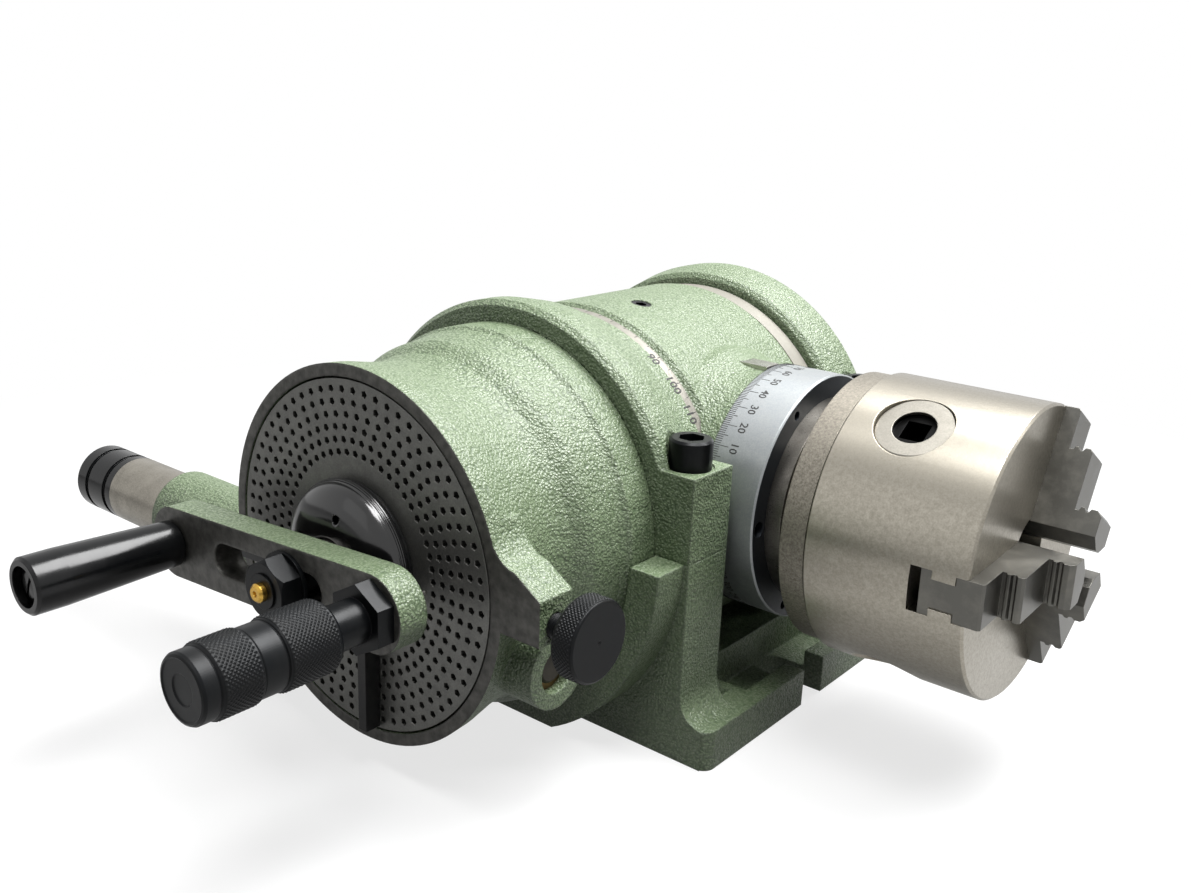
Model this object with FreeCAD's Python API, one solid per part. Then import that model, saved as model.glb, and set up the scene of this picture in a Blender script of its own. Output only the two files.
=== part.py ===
import FreeCAD, Part
import math
import os

# Universal dividing head with a three-jaw chuck, in millimetres.
# The origin is on the underside of the base, straight below the tilt axis.
# X runs along the spindle towards the chuck, Y away from the index plate, Z up.
# The tilt axis runs along Y and also carries the crank, the index plate and the sector arms.

# Axes and clearances
TILT_HEIGHT = 90.0
SPINDLE_RISE = 10.0
RUN_FIT = 0.05
SIDE_GAP = 0.3

# Base casting
BASE_LENGTH = 234.0
BASE_WIDTH = 178.0
FOOT_THICKNESS = 18.0
FOOT_CORNER = 6.0
PILLAR_LENGTH = 203.0
PILLAR_THICKNESS = 28.0
PILLAR_FILLET = 12.0
INNER_FILLET = 16.0
WELL_LENGTH = 156.0
FLOOR_START_FRONT = 38.0
FLOOR_START_REAR = 62.0
WEB_THICKNESS = 10.0
WEB_HEIGHT = 28.0
POCKET_WIDTH = 88.0
POCKET_FLOOR = 10.0
END_WALL = 10.0
SLOT_WIDTH = 18.0
SLOT_REACH = 21.0
COLLAR_LENGTH = 18.0
COLLAR_RADIUS = 99.5
COLLAR_FOOT_GAP = 2.0

# Clamp straps and their screws
STRAP_RADIUS = 94.0
STRAP_EDGE_DROP = 2.5
STRAP_INNER_DROP = 5.5
STRAP_SLOPE_LENGTH = 16.0
LUG_HEIGHT = 37.0
SCREW_OFFSET = 89.5
SCREW_RADIUS = 6.0
SCREW_HEAD_RADIUS = 9.2
SCREW_HEAD_HEIGHT = 13.0
SCREW_DEPTH = 30.0
SOCKET_FLATS = 10.0
SOCKET_DEPTH = 7.5
SEAT_RADIUS = 10.4
SEAT_DEPTH = 0.6

# Swivel block
TRUNNION_RADIUS = 78.0
DRUM_RADIUS = 87.0
DRUM_MARGIN = 1.2
DRUM_EDGE = 2.5
SHOULDER_RADIUS = 84.5
SCALE_THICKNESS = 0.9
SCALE_INSET = 1.0
SCALE_WIDTH = 10.5
NEAR_SCALE_WIDTH = 17.5
NECK_RADIUS = 55.0
NECK_END = 82.6
NECK_FLARE = 62.0
NECK_FLARE_START = 58.0
NECK_STEP_START = 70.0
NECK_STEP_END = 76.0
REAR_FLAT = 80.0
REAR_BOSS_RADIUS = 38.0
REAR_BOSS_LENGTH = 4.0
COVER_RADIUS = 72.0
COVER_THICKNESS = 5.0
COVER_SCREW_CIRCLE = 60.0
COVER_SCREW_COUNT = 6
COVER_SCREW_RADIUS = 5.0
PLUG_X = 13.0
PLUG_Y = -11.0
PLUG_RADIUS = 5.0
PAD_LENGTH = 15.0
PAD_WIDTH = 10.0
PAD_THICKNESS = 1.6
PAD_Y = -1.5

# Spindle and its bearings
SPINDLE_BORE = 9.0
NUT_THREAD_RADIUS = 17.0
REAR_JOURNAL = 20.0
WHEEL_SEAT = 22.0
THRUST_COLLAR = 26.0
FRONT_JOURNAL = 28.0
FRONT_BUSH_START = 16.0
REAR_BUSH_START = -70.0
REAR_BUSH_END = -14.0
BUSH_WALL = 6.0
REAR_BUSH_WALL = 5.0
NUT_LENGTH = 10.0
NUT_RADIUS = 26.0
NUT_SLOTS = 4
NOSE_RADIUS = 30.0
NOSE_LENGTH = 11.5
FLANGE_RADIUS = 46.5
FLANGE_THICKNESS = 7.5

# Graduated ring
RING_RADIUS = 56.6
RING_LENGTH = 27.8
RING_HOLE_CIRCLE = 51.4
RING_HOLE_SMALL = 2.1
RING_HOLE_LARGE = 3.5
RING_HOLE_DEPTH = 9.0

# Worm drive
WORM_OFFSET = 44.0
WORM_WHEEL_TEETH = 40
WORM_WHEEL_RADIUS = 34.7
WORM_WHEEL_WIDTH = 16.0
WORM_WHEEL_TOOTH = 3.6
WORM_RADIUS = 9.0
WORM_CORE = 6.0
WORM_THREADS = 5
WORM_PITCH = 5.5
WORM_BUSH_RADIUS = 12.0
WORM_BUSH_LENGTH = 16.0
CHAMBER_RADIUS = 42.0
CHAMBER_HALF = 13.0
SPUR_TEETH = 17
SPUR_TOOTH = 4.2
SPUR_WIDTH = 10.0

# Index housing
RIM_RADIUS = 79.4
RIM_OUT = 87.4
RIM_BAND = 8.0
WAIST_RADIUS = 75.0
WAIST_OUT = 53.0
SHOULDER_RIDGE_OUT = 23.0
BELL_RADIUS = 84.4
COLLAR_CLEARANCE = 0.5
BELL_WALL = 9.0
DIAPHRAGM_BACK_OUT = 17.0
DIAPHRAGM_FRONT_OUT = 27.0
GEAR_CHAMBER_RADIUS = 54.0
LUG_OUT = 98.0
LUG_TOP = 19.2
LUG_TOP_OUT = 11.4
LUG_BOTTOM = -6.4
LUG_KNEE = 85.5
LUG_SWEEP_ANGLE = 25.0
LUG_SWEEP_X = 76.5
LUG_DEPTH = 17.6

# Side shaft for change gears
SIDE_OUT = 63.0
SIDE_DROP = 28.0
SIDE_SHAFT_RADIUS = 6.5
SIDE_BOSS_RADIUS = 20.5
SIDE_BOSS_END = -158.0
SLEEVE_RADIUS = 17.0
SLEEVE_END = -203.0
SLEEVE_SEAT = 44.0
CAP_END = -236.0
CAP_GROOVES = (-225.0, -209.0)
CAP_GROOVE_WIDTH = 3.0
CAP_GROOVE_DEPTH = 1.0
CAP_WALL = 3.5
FRONT_BOSS_RADIUS = 16.0
FRONT_BOSS_END = 87.0
FRONT_BUSH_RADIUS = 9.5
FRONT_BUSH_LENGTH = 20.0
FRONT_BUSH_SINK = 5.0
SKEW_GEAR_LENGTH = 14.0

# Plate lock screw
LOCK_RADIUS = 5.0
LOCK_TIP_RADIUS = 2.2
LOCK_KNOB_RADIUS = 16.0
LOCK_KNOB_LENGTH = 10.0
LOCK_KNOB_END = 118.4
LOCK_TRAVEL = 4.0

# Index plate, its carrier and the sector arms
PLATE_RADIUS = 73.3
PLATE_RECESS = 0.2
PLATE_THICKNESS = 6.0
PLATE_BORE = 13.0
CARRIER_THICKNESS = 4.0
CARRIER_RADIUS = 73.0
HOLE_COUNTS = (66, 62, 59, 58, 57, 54)
HOLE_OUTER_CIRCLE = 69.2
HOLE_CIRCLE_STEP = 5.1
HOLE_RADIUS = 1.7
HOLE_DEPTH = 4.0
HOLE_SIDES = 5
SECTOR_RING_RADIUS = 33.0
SECTOR_RING_THICKNESS = 1.4
SECTOR_BAR_WIDTH = 4.6
SECTOR_BAR_HEIGHT = 7.4
SECTOR_BAR_OFFSET = 8.0
SECTOR_REACH = 71.0
HUB_RADIUS = 34.0
HUB_TOP_RADIUS = 13.5
HUB_RISE = 11.0
HUB_HOLE_CIRCLE = 21.0
HUB_HOLE_RADIUS = 1.8

# Crank
CRANK_ANGLE = 3.5
CRANK_SHAFT_RADIUS = 7.0
ARM_FRONT_OUT = 122.0
ARM_THICKNESS = 12.7
ARM_HALF_WIDTH = 15.3
PLUNGER_ARM = 48.8
HANDLE_ARM = 75.5
ARM_SLOT_END = -47.0
ARM_SLOT_NEAR = 21.0
SLOT_CLEARANCE = 0.1
SPACER_RADIUS = 12.0
CRANK_WASHER_RADIUS = 13.0
CRANK_WASHER_THICKNESS = 1.6
CRANK_NUT_FLATS = 22.0
CRANK_NUT_LENGTH = 9.0
CRANK_END_PROUD = 0.8
NIPPLE_RADIUS = 3.8
NIPPLE_LENGTH = 3.0

# Index plunger
PLUNGER_HEX_FLATS = 24.0
PLUNGER_HEX_LENGTH = 7.4
BARREL_RADIUS = 8.6
BARREL_END_OUT = 157.0
PLUNGER_SHANK_RADIUS = 8.0
PIN_RADIUS = 3.0
PIN_TIP_RADIUS = 1.0
PIN_TIP_LENGTH = 9.0
KNOB_START_OUT = 144.7
KNOB_BORE_END_OUT = 173.0
KNURL_RADIUS = 13.6
KNURL_ONE_END_OUT = 165.8
KNURL_TWO_START_OUT = 176.4
KNURL_TWO_END_OUT = 191.1
BAND_RADIUS = 12.5
KNOB_END_OUT = 198.5
KNOB_CHAMFER = 1.2

# Revolving handle
HANDLE_BASE_RADIUS = 9.8
HANDLE_END_RADIUS = 11.7
HANDLE_END_OUT = 186.5
HANDLE_PIN_RADIUS = 5.0
HANDLE_HEAD_RADIUS = 8.0
HANDLE_HEAD_LENGTH = 5.0
HANDLE_HEAD_SINK = 2.0
HANDLE_SLOT_WIDTH = 1.6

# Three-jaw chuck
CHUCK_RADIUS = 62.5
CHUCK_BACK = 138.0
CHUCK_LENGTH = 68.7
CHUCK_BORE = 16.0
CHUCK_HUB_RADIUS = 21.0
CHUCK_ANGLE = 2.0
CHUCK_EDGE = 1.0
BACK_PLATE_RADIUS = 60.6
BACK_PLATE_THICKNESS = 11.3
BACK_PLATE_HUB = 40.0
CAVITY_RADIUS = 50.0
REAR_COVER_THICKNESS = 16.0
CHUCK_SCREW_CIRCLE = 54.8
CHUCK_SCREW_RADIUS = 3.0
CHUCK_SCREW_HEAD = 5.0
CHUCK_SCREW_HEAD_LENGTH = 6.0
CHUCK_SCREW_LENGTH = 30.0
JAW_COUNT = 3

# Scroll and pinions
SLOT_FLOOR = 23.0
SCROLL_RIDGE = 3.4
SCROLL_RADIUS = 49.5
SCROLL_PITCH = 6.0
SCROLL_RIDGES = 4
SCROLL_RIDGE_WIDTH = 2.6
SCROLL_RIM_THICKNESS = 4.7
SCROLL_HUB_THICKNESS = 7.2
PINION_SETBACK = 40.8
PINION_RADIUS = 16.0
PINION_SINK = 1.9
PINION_HEAD_LENGTH = 10.4
PINION_CONE_INNER = 37.0
PINION_CONE_TIP = 6.5
PINION_CONE_ROOT = 9.0
PINION_SQUARE = 10.0
PINION_SQUARE_DEPTH = 12.0
PINION_COUNTERBORE = 8.8
PINION_COUNTERBORE_DEPTH = 2.4

# Jaws
JAW_WIDTH = 18.8
JAW_NECK_WIDTH = 12.0
JAW_INNER = 8.0
JAW_OUTER = 61.5
JAW_FLANGE_BOTTOM = 18.7
JAW_FLANGE_TOP = 14.3
JAW_NECK_TOP = 4.8
JAW_STEP_RADII = (46.0, 22.5)
JAW_STEP_HEIGHTS = (6.2, 15.2, 25.6)
JAW_TIP_HALF = 2.3
JAW_GROOVE = 1.4
JAW_TOOTH_HEIGHT = 3.6
JAW_TEETH = 4

# Sizes that follow from the ones above
HALF_WIDTH = BASE_WIDTH / 2
INNER_FACE = HALF_WIDTH - PILLAR_THICKNESS
JOURNAL_END = HALF_WIDTH + 0.4
SPINDLE_HEIGHT = TILT_HEIGHT + SPINDLE_RISE
SHOULDER_END = INNER_FACE - SIDE_GAP
DRUM_HALF = SHOULDER_END - SCALE_INSET - SCALE_WIDTH - DRUM_EDGE - DRUM_MARGIN
NEAR_DRUM_HALF = DRUM_HALF + SCALE_WIDTH - NEAR_SCALE_WIDTH
WORM_FAR_END = DRUM_HALF
RIM_PLANE = -HALF_WIDTH - RIM_OUT
WAIST_Y = -HALF_WIDTH - WAIST_OUT
SHOULDER_RIDGE_Y = -HALF_WIDTH - SHOULDER_RIDGE_OUT
DIAPHRAGM_BACK = -HALF_WIDTH - DIAPHRAGM_BACK_OUT
DIAPHRAGM_FRONT = -HALF_WIDTH - DIAPHRAGM_FRONT_OUT
SIDE_Y = -HALF_WIDTH - SIDE_OUT
ARM_FRONT = -HALF_WIDTH - ARM_FRONT_OUT
BARREL_END = -HALF_WIDTH - BARREL_END_OUT
KNOB_START = -HALF_WIDTH - KNOB_START_OUT
KNOB_BORE_END = -HALF_WIDTH - KNOB_BORE_END_OUT
KNURL_ONE_END = -HALF_WIDTH - KNURL_ONE_END_OUT
KNURL_TWO_START = -HALF_WIDTH - KNURL_TWO_START_OUT
KNURL_TWO_END = -HALF_WIDTH - KNURL_TWO_END_OUT
KNOB_END = -HALF_WIDTH - KNOB_END_OUT
HANDLE_END = -HALF_WIDTH - HANDLE_END_OUT
BELL_BACK = -JOURNAL_END
BORE_RADIUS = TRUNNION_RADIUS + RUN_FIT
STRAP_MIDDLE = HALF_WIDTH - PILLAR_THICKNESS / 2
LUG_TOP_Z = TILT_HEIGHT + LUG_HEIGHT
WORM_HEIGHT = SPINDLE_HEIGHT - WORM_OFFSET
SPUR_DISTANCE = TILT_HEIGHT - WORM_HEIGHT
SPUR_RADIUS = (SPUR_DISTANCE - SIDE_GAP) / 2
SPUR_FRONT = BELL_BACK - 3.0
SIDE_HEIGHT = TILT_HEIGHT - SIDE_DROP
SKEW_GEAR_RADIUS = (SIDE_DROP - SIDE_GAP) / 2
PLATE_FRONT = RIM_PLANE + PLATE_RECESS
PLATE_BACK = PLATE_FRONT + PLATE_THICKNESS
CARRIER_BACK = PLATE_BACK + CARRIER_THICKNESS
PLATE_POCKET = PLATE_RADIUS + 0.9
RING_START = NECK_END + SIDE_GAP
RING_END = RING_START + RING_LENGTH
FLANGE_END = RING_END + FLANGE_THICKNESS
NOSE_END = FLANGE_END + NOSE_LENGTH
REAR_END = -(REAR_FLAT + REAR_BOSS_LENGTH)
BACK_PLATE_END = CHUCK_BACK - 0.4
BACK_PLATE_START = BACK_PLATE_END - BACK_PLATE_THICKNESS
CHUCK_FACE = CHUCK_BACK + CHUCK_LENGTH
CAVITY_END = CHUCK_FACE - SLOT_FLOOR
SCROLL_FACE = CAVITY_END - SIDE_GAP - SCROLL_RIDGE
PINION_X = CHUCK_FACE - PINION_SETBACK
STACK_FRONT = PLATE_FRONT - SIDE_GAP
ARM_BACK = ARM_FRONT + ARM_THICKNESS
HUB_BACK = STACK_FRONT - 2 * SECTOR_RING_THICKNESS - 2 * SIDE_GAP
HUB_FRONT = HUB_BACK - HUB_RISE
PIN_TIP_Y = STACK_FRONT - SECTOR_BAR_HEIGHT - 0.5
LOCK_Y = RIM_PLANE + LUG_DEPTH / 2
CHUCK_PHASE = 180 + CHUCK_ANGLE

X = FreeCAD.Vector(1, 0, 0)
Y = FreeCAD.Vector(0, 1, 0)
Z = FreeCAD.Vector(0, 0, 1)
SPINDLE = FreeCAD.Vector(0, 0, SPINDLE_HEIGHT)
TILT = FreeCAD.Vector(0, 0, TILT_HEIGHT)
WORM = FreeCAD.Vector(0, 0, WORM_HEIGHT)
SIDE = FreeCAD.Vector(0, SIDE_Y, SIDE_HEIGHT)


def turned(points, centre, axis, radial):
    """A solid of revolution. Each point is (distance along the axis, radius)."""
    corners = [centre + axis * along + radial * radius for along, radius in points]
    wire = Part.makePolygon(corners + corners[:1])
    return Part.Face(wire).revolve(centre, axis, 360)


def rod(radius, start, end, centre, axis):
    """A round rod from start to end along an axis through centre."""
    return Part.makeCylinder(radius, end - start, centre + axis * start, axis)


def tube(outer, inner, start, end, centre, axis):
    """A rod with a bore right through it."""
    return rod(outer, start, end, centre, axis).cut(rod(inner, start - 1, end + 1, centre, axis))


def block(x0, x1, y0, y1, z0, z1):
    """A box from its six faces."""
    return Part.makeBox(x1 - x0, y1 - y0, z1 - z0, FreeCAD.Vector(x0, y0, z0))


def prism(points, direction):
    """A flat outline pushed along a direction."""
    return Part.Face(Part.makePolygon(points + points[:1])).extrude(direction)


def hexagon(flats, start, end, centre, axis, radial):
    """A hexagonal bar with two corners on the radial direction."""
    side = axis.cross(radial)
    reach = flats / math.sqrt(3)
    corners = []
    for index in range(6):
        angle = math.radians(60 * index)
        corners.append(centre + axis * start + radial * (reach * math.cos(angle)) + side * (reach * math.sin(angle)))
    return prism(corners, axis * (end - start))


def on_crank(radius, y):
    """A point of the crank arm, radius along it from the tilt axis, at the depth y."""
    angle = math.radians(CRANK_ANGLE)
    return FreeCAD.Vector(radius * math.cos(angle), y, TILT_HEIGHT + radius * math.sin(angle))


def around(shape, centre, axis, angle):
    """A copy of a shape turned about an axis."""
    copy = shape.copy()
    copy.rotate(centre, axis, angle)
    return copy


def toothed(teeth, tip, depth, start, end, centre, axis, radial):
    """A straight-cut gear blank. The flanks narrow from root to tip."""
    side = axis.cross(radial)
    step = 2 * math.pi / teeth
    outline = []
    for index in range(teeth):
        for share, radius in ((-0.30, tip - depth), (-0.16, tip), (0.16, tip), (0.30, tip - depth)):
            angle = step * (index + share)
            point = centre + radial * (radius * math.cos(angle)) + side * (radius * math.sin(angle))
            outline.append(point + axis * start)
    return prism(outline, axis * (end - start))


def base_casting():
    """Feet, webs and pillars in one casting, with the two half bores for the trunnions."""
    half_length = BASE_LENGTH / 2
    half_pillar = PILLAR_LENGTH / 2
    body = block(-half_length, half_length, -HALF_WIDTH, HALF_WIDTH, 0, FOOT_THICKNESS)
    corners = [edge for edge in body.Edges if abs(edge.tangentAt(0).z) > 0.9]
    body = body.makeFillet(FOOT_CORNER, corners)
    for sign in (-1, 1):
        y_low = min(sign * INNER_FACE, sign * HALF_WIDTH)
        body = body.fuse(pillar(half_pillar, y_low))
    half_well = WELL_LENGTH / 2
    web_end = half_well + WEB_THICKNESS
    body = body.fuse(block(-web_end, web_end, -INNER_FACE, INNER_FACE, 0, WEB_HEIGHT))
    for x_low in (-half_pillar, half_well):
        for sign in (-1, 1):
            body = body.fuse(inner_fillet(sign, x_low, half_pillar - half_well))
    body = body.fuse(near_collar())
    cuts = [block(-half_well, half_well, -INNER_FACE, INNER_FACE, POCKET_FLOOR, WEB_HEIGHT + 1)]
    cuts.append(block(-FLOOR_START_REAR, FLOOR_START_FRONT, -INNER_FACE, INNER_FACE, -1, POCKET_FLOOR + 1))
    cuts.append(rod(BORE_RADIUS, -HALF_WIDTH - 1, HALF_WIDTH + 1, TILT, Y))
    for sign in (-1, 1):
        cuts.extend(end_cuts(sign, web_end))
        for side in (-1, 1):
            foot = FreeCAD.Vector(sign * SCREW_OFFSET, side * STRAP_MIDDLE, TILT_HEIGHT - SCREW_DEPTH)
            cuts.append(Part.makeCylinder(SCREW_RADIUS, SCREW_DEPTH + 1, foot))
    return body.cut(Part.makeCompound(cuts)).removeSplitter()


def pillar(half_length, y_low):
    """One upright wall, its ends flowing into the feet with a fillet."""
    top = TILT_HEIGHT
    low = FOOT_THICKNESS
    radius = PILLAR_FILLET
    points = [(-half_length, top), (-half_length, low + radius), (-half_length - radius, low)]
    points += [(-half_length - radius, 0), (half_length + radius, 0)]
    points += [(half_length + radius, low), (half_length, low + radius), (half_length, top)]
    corners = [FreeCAD.Vector(x, y_low, z) for x, z in points]
    bend = radius * (1 - math.sqrt(0.5))
    left_mid = FreeCAD.Vector(-half_length - bend, y_low, low + bend)
    right_mid = FreeCAD.Vector(half_length + bend, y_low, low + bend)
    edges = []
    for index, corner in enumerate(corners):
        following = corners[(index + 1) % len(corners)]
        if index == 1:
            edges.append(Part.Arc(corner, left_mid, following).toShape())
        elif index == 5:
            edges.append(Part.Arc(corner, right_mid, following).toShape())
        else:
            edges.append(Part.makeLine(corner, following))
    return Part.Face(Part.Wire(edges)).extrude(Y * PILLAR_THICKNESS)


def inner_fillet(sign, x_low, length):
    """The hollow curve between one pillar's inner face and the foot."""
    low = FOOT_THICKNESS
    radius = INNER_FILLET
    corner = FreeCAD.Vector(x_low, sign * INNER_FACE, low)
    upper = corner + Z * radius
    inward = corner - Y * (sign * radius)
    bend = radius * (1 - math.sqrt(0.5))
    middle = corner - Y * (sign * bend) + Z * bend
    edges = [Part.makeLine(corner, upper), Part.Arc(upper, middle, inward).toShape(), Part.makeLine(inward, corner)]
    return Part.Face(Part.Wire(edges)).extrude(X * length)


def near_collar():
    """The half ring in front of the near pillar that the index housing sits in."""
    inner = BELL_RADIUS + COLLAR_CLEARANCE
    ring = tube(COLLAR_RADIUS, inner, -HALF_WIDTH - COLLAR_LENGTH, -HALF_WIDTH, TILT, Y)
    reach = COLLAR_RADIUS + 1
    keep = block(-reach, reach, -HALF_WIDTH - COLLAR_LENGTH, -HALF_WIDTH, COLLAR_FOOT_GAP, TILT_HEIGHT)
    return ring.common(keep)


def end_cuts(sign, web_end):
    """The pocket behind one end wall and the bolt slot through it."""
    half_length = BASE_LENGTH / 2
    half_pocket = POCKET_WIDTH / 2
    wall = half_length - END_WALL
    pocket = block(min(sign * web_end, sign * wall), max(sign * web_end, sign * wall),
                   -half_pocket, half_pocket, POCKET_FLOOR, FOOT_THICKNESS + 1)
    centre = half_length - SLOT_REACH
    slot_round = Part.makeCylinder(SLOT_WIDTH / 2, FOOT_THICKNESS + 2, FreeCAD.Vector(sign * centre, 0, -1))
    slot_open = block(min(sign * centre, sign * (half_length + 1)), max(sign * centre, sign * (half_length + 1)),
                      -SLOT_WIDTH / 2, SLOT_WIDTH / 2, -1, FOOT_THICKNESS + 1)
    return [pocket, slot_round, slot_open]


def clamp_strap(sign):
    """The upper half bore with a lug each side, sloped towards the swivel block."""
    inner = INNER_FACE
    outer = HALF_WIDTH
    profile = [(inner, BORE_RADIUS), (inner, STRAP_RADIUS - STRAP_INNER_DROP)]
    profile += [(inner + 2, STRAP_RADIUS - STRAP_INNER_DROP / 2), (inner + STRAP_SLOPE_LENGTH, STRAP_RADIUS)]
    profile += [(outer - 3, STRAP_RADIUS), (outer, STRAP_RADIUS - STRAP_EDGE_DROP), (outer, BORE_RADIUS)]
    ring = turned([(sign * along, radius) for along, radius in profile], TILT, Y, Z)
    y_low = min(sign * inner, sign * outer)
    y_high = max(sign * inner, sign * outer)
    half = PILLAR_LENGTH / 2
    reach = STRAP_RADIUS + 5
    ring = ring.common(block(-reach, reach, y_low, y_high, TILT_HEIGHT, TILT_HEIGHT + reach))
    lugs = block(-half, half, y_low, y_high, TILT_HEIGHT, LUG_TOP_Z)
    lugs = lugs.cut(rod(BORE_RADIUS, y_low - 1, y_high + 1, TILT, Y))
    strap = ring.fuse(lugs)
    cuts = []
    for side in (-1, 1):
        centre = FreeCAD.Vector(side * SCREW_OFFSET, sign * STRAP_MIDDLE, TILT_HEIGHT - 1)
        cuts.append(Part.makeCylinder(SCREW_RADIUS + 0.25, LUG_HEIGHT + 2, centre))
        seat = FreeCAD.Vector(side * SCREW_OFFSET, sign * STRAP_MIDDLE, LUG_TOP_Z - SEAT_DEPTH)
        cuts.append(Part.makeCylinder(SEAT_RADIUS, 40, seat))
    return strap.cut(Part.makeCompound(cuts)).removeSplitter()


def strap_places():
    """The four screw centres on top of the lugs."""
    places = []
    for side in (-1, 1):
        for sign in (-1, 1):
            places.append(FreeCAD.Vector(side * SCREW_OFFSET, sign * STRAP_MIDDLE, LUG_TOP_Z))
    return places


def strap_screws():
    """Four socket cap screws into the pillars."""
    screws = []
    for place in strap_places():
        seat = -SEAT_DEPTH
        shank = rod(SCREW_RADIUS, -LUG_HEIGHT - SCREW_DEPTH, seat, place, Z)
        head = turned([(seat, 0), (seat, SCREW_HEAD_RADIUS), (seat + SCREW_HEAD_HEIGHT - 1, SCREW_HEAD_RADIUS),
                       (seat + SCREW_HEAD_HEIGHT, SCREW_HEAD_RADIUS - 1), (seat + SCREW_HEAD_HEIGHT, 0)],
                      place, Z, X)
        top = seat + SCREW_HEAD_HEIGHT
        socket = hexagon(SOCKET_FLATS, top - SOCKET_DEPTH, top + 1, place, Z, X)
        screws.append(shank.fuse(head).cut(socket))
    return Part.makeCompound(screws)


def swivel_block():
    """The drum between the straps, with its trunnions and the neck that holds the spindle."""
    shoulder = SHOULDER_END
    drum = drum_side(1, DRUM_HALF).fuse(drum_side(-1, NEAR_DRUM_HALF))
    neck = neck_from(0)
    body = drum.cut(front_flat()).fuse(neck)
    body = body.cut(block(-DRUM_RADIUS - 1, -REAR_FLAT, -shoulder, shoulder, 0, 2 * SPINDLE_HEIGHT))
    body = body.fuse(rod(REAR_BOSS_RADIUS, REAR_END, -REAR_FLAT + 1, SPINDLE, X))
    cuts = [rod(FRONT_JOURNAL + BUSH_WALL, 0, NECK_END + 1, SPINDLE, X)]
    cuts.append(rod(CHAMBER_RADIUS, -CHAMBER_HALF, CHAMBER_HALF, SPINDLE, X))
    cuts.append(rod(REAR_JOURNAL + REAR_BUSH_WALL, REAR_END - 1, 0, SPINDLE, X))
    cuts.append(rod(NUT_RADIUS + 1, REAR_END - 1, REAR_BUSH_START - 1, SPINDLE, X))
    cuts.append(rod(WORM_BUSH_RADIUS, -JOURNAL_END - 1, WORM_FAR_END, WORM, Y))
    cuts.append(plug_rod(PLUG_RADIUS, -4))
    return body.cut(Part.makeCompound(cuts)).removeSplitter()


def front_flat():
    """The space in front of the neck's end face, where the drum is machined flat."""
    reach = DRUM_RADIUS + 5
    return block(NECK_END, reach, -reach, reach, 0, 2 * SPINDLE_HEIGHT)


def plug_rod(radius, depth):
    """A short rod that stands on the drum where the filler plug sits, sunk by depth."""
    foot_z = TILT_HEIGHT + math.sqrt(DRUM_RADIUS ** 2 - PLUG_X ** 2)
    normal = FreeCAD.Vector(PLUG_X, 0, foot_z - TILT_HEIGHT).normalize()
    foot = FreeCAD.Vector(PLUG_X, PLUG_Y, foot_z) + normal * depth
    return Part.makeCylinder(radius, 4 - depth, foot, normal)


def filler_plug():
    """The screwed plug on top of the drum, level with the casting."""
    foot_z = TILT_HEIGHT + math.sqrt(DRUM_RADIUS ** 2 - PLUG_X ** 2)
    normal = FreeCAD.Vector(PLUG_X, 0, foot_z - TILT_HEIGHT).normalize()
    foot = FreeCAD.Vector(PLUG_X, PLUG_Y, foot_z) - normal * 4
    body = Part.makeCylinder(PLUG_RADIUS, 3.6, foot, normal)
    side = Y.cross(normal)
    return body.cut(hexagon(5.0, 1.5, 4.0, foot, normal, side))


def tilt_scale(sign):
    """The graduated band beside one strap."""
    outer = SHOULDER_END - SCALE_INSET
    width = SCALE_WIDTH if sign > 0 else NEAR_SCALE_WIDTH
    inner = outer - width
    start = min(sign * inner, sign * outer)
    band = tube(SHOULDER_RADIUS + SCALE_THICKNESS, SHOULDER_RADIUS, start, start + width, TILT, Y)
    return band.cut(front_flat()).cut(swivel_neck_core())


def far_cover():
    """The round cover on the far trunnion."""
    end = JOURNAL_END + COVER_THICKNESS
    return turned([(JOURNAL_END, 0), (JOURNAL_END, COVER_RADIUS), (end - 2, COVER_RADIUS),
                   (end, COVER_RADIUS - 2), (end, 0)], TILT, Y, Z)


def far_cover_screws():
    """Button-head screws round the far cover."""
    heads = []
    end = JOURNAL_END + COVER_THICKNESS
    for index in range(COVER_SCREW_COUNT):
        angle = math.radians(360 / COVER_SCREW_COUNT * (index + 0.5))
        centre = TILT + X * (COVER_SCREW_CIRCLE * math.cos(angle)) + Z * (COVER_SCREW_CIRCLE * math.sin(angle))
        head = turned([(end, 0), (end, COVER_SCREW_RADIUS), (end + 1.4, COVER_SCREW_RADIUS - 0.6),
                       (end + 2.8, COVER_SCREW_RADIUS - 2.4), (end + 2.8, 0)], centre, Y, Z)
        heads.append(head.cut(hexagon(3.4, end + 1.0, end + 4.0, centre, Y, Z)))
    return Part.makeCompound(heads)


def front_bush():
    """The bronze bush in the neck."""
    return tube(FRONT_JOURNAL + BUSH_WALL, FRONT_JOURNAL + RUN_FIT, FRONT_BUSH_START, NECK_END, SPINDLE, X)


def rear_bush():
    """The bronze bush behind the worm wheel."""
    return tube(REAR_JOURNAL + REAR_BUSH_WALL, REAR_JOURNAL + RUN_FIT, REAR_BUSH_START, REAR_BUSH_END, SPINDLE, X)


def worm_bushes():
    """The two bushes of the worm shaft."""
    near = tube(WORM_BUSH_RADIUS, WORM_CORE + RUN_FIT, -JOURNAL_END, -JOURNAL_END + WORM_BUSH_LENGTH, WORM, Y)
    far = tube(WORM_BUSH_RADIUS, WORM_CORE + RUN_FIT, WORM_FAR_END - WORM_BUSH_LENGTH, WORM_FAR_END, WORM, Y)
    return Part.makeCompound([near, far])


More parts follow.
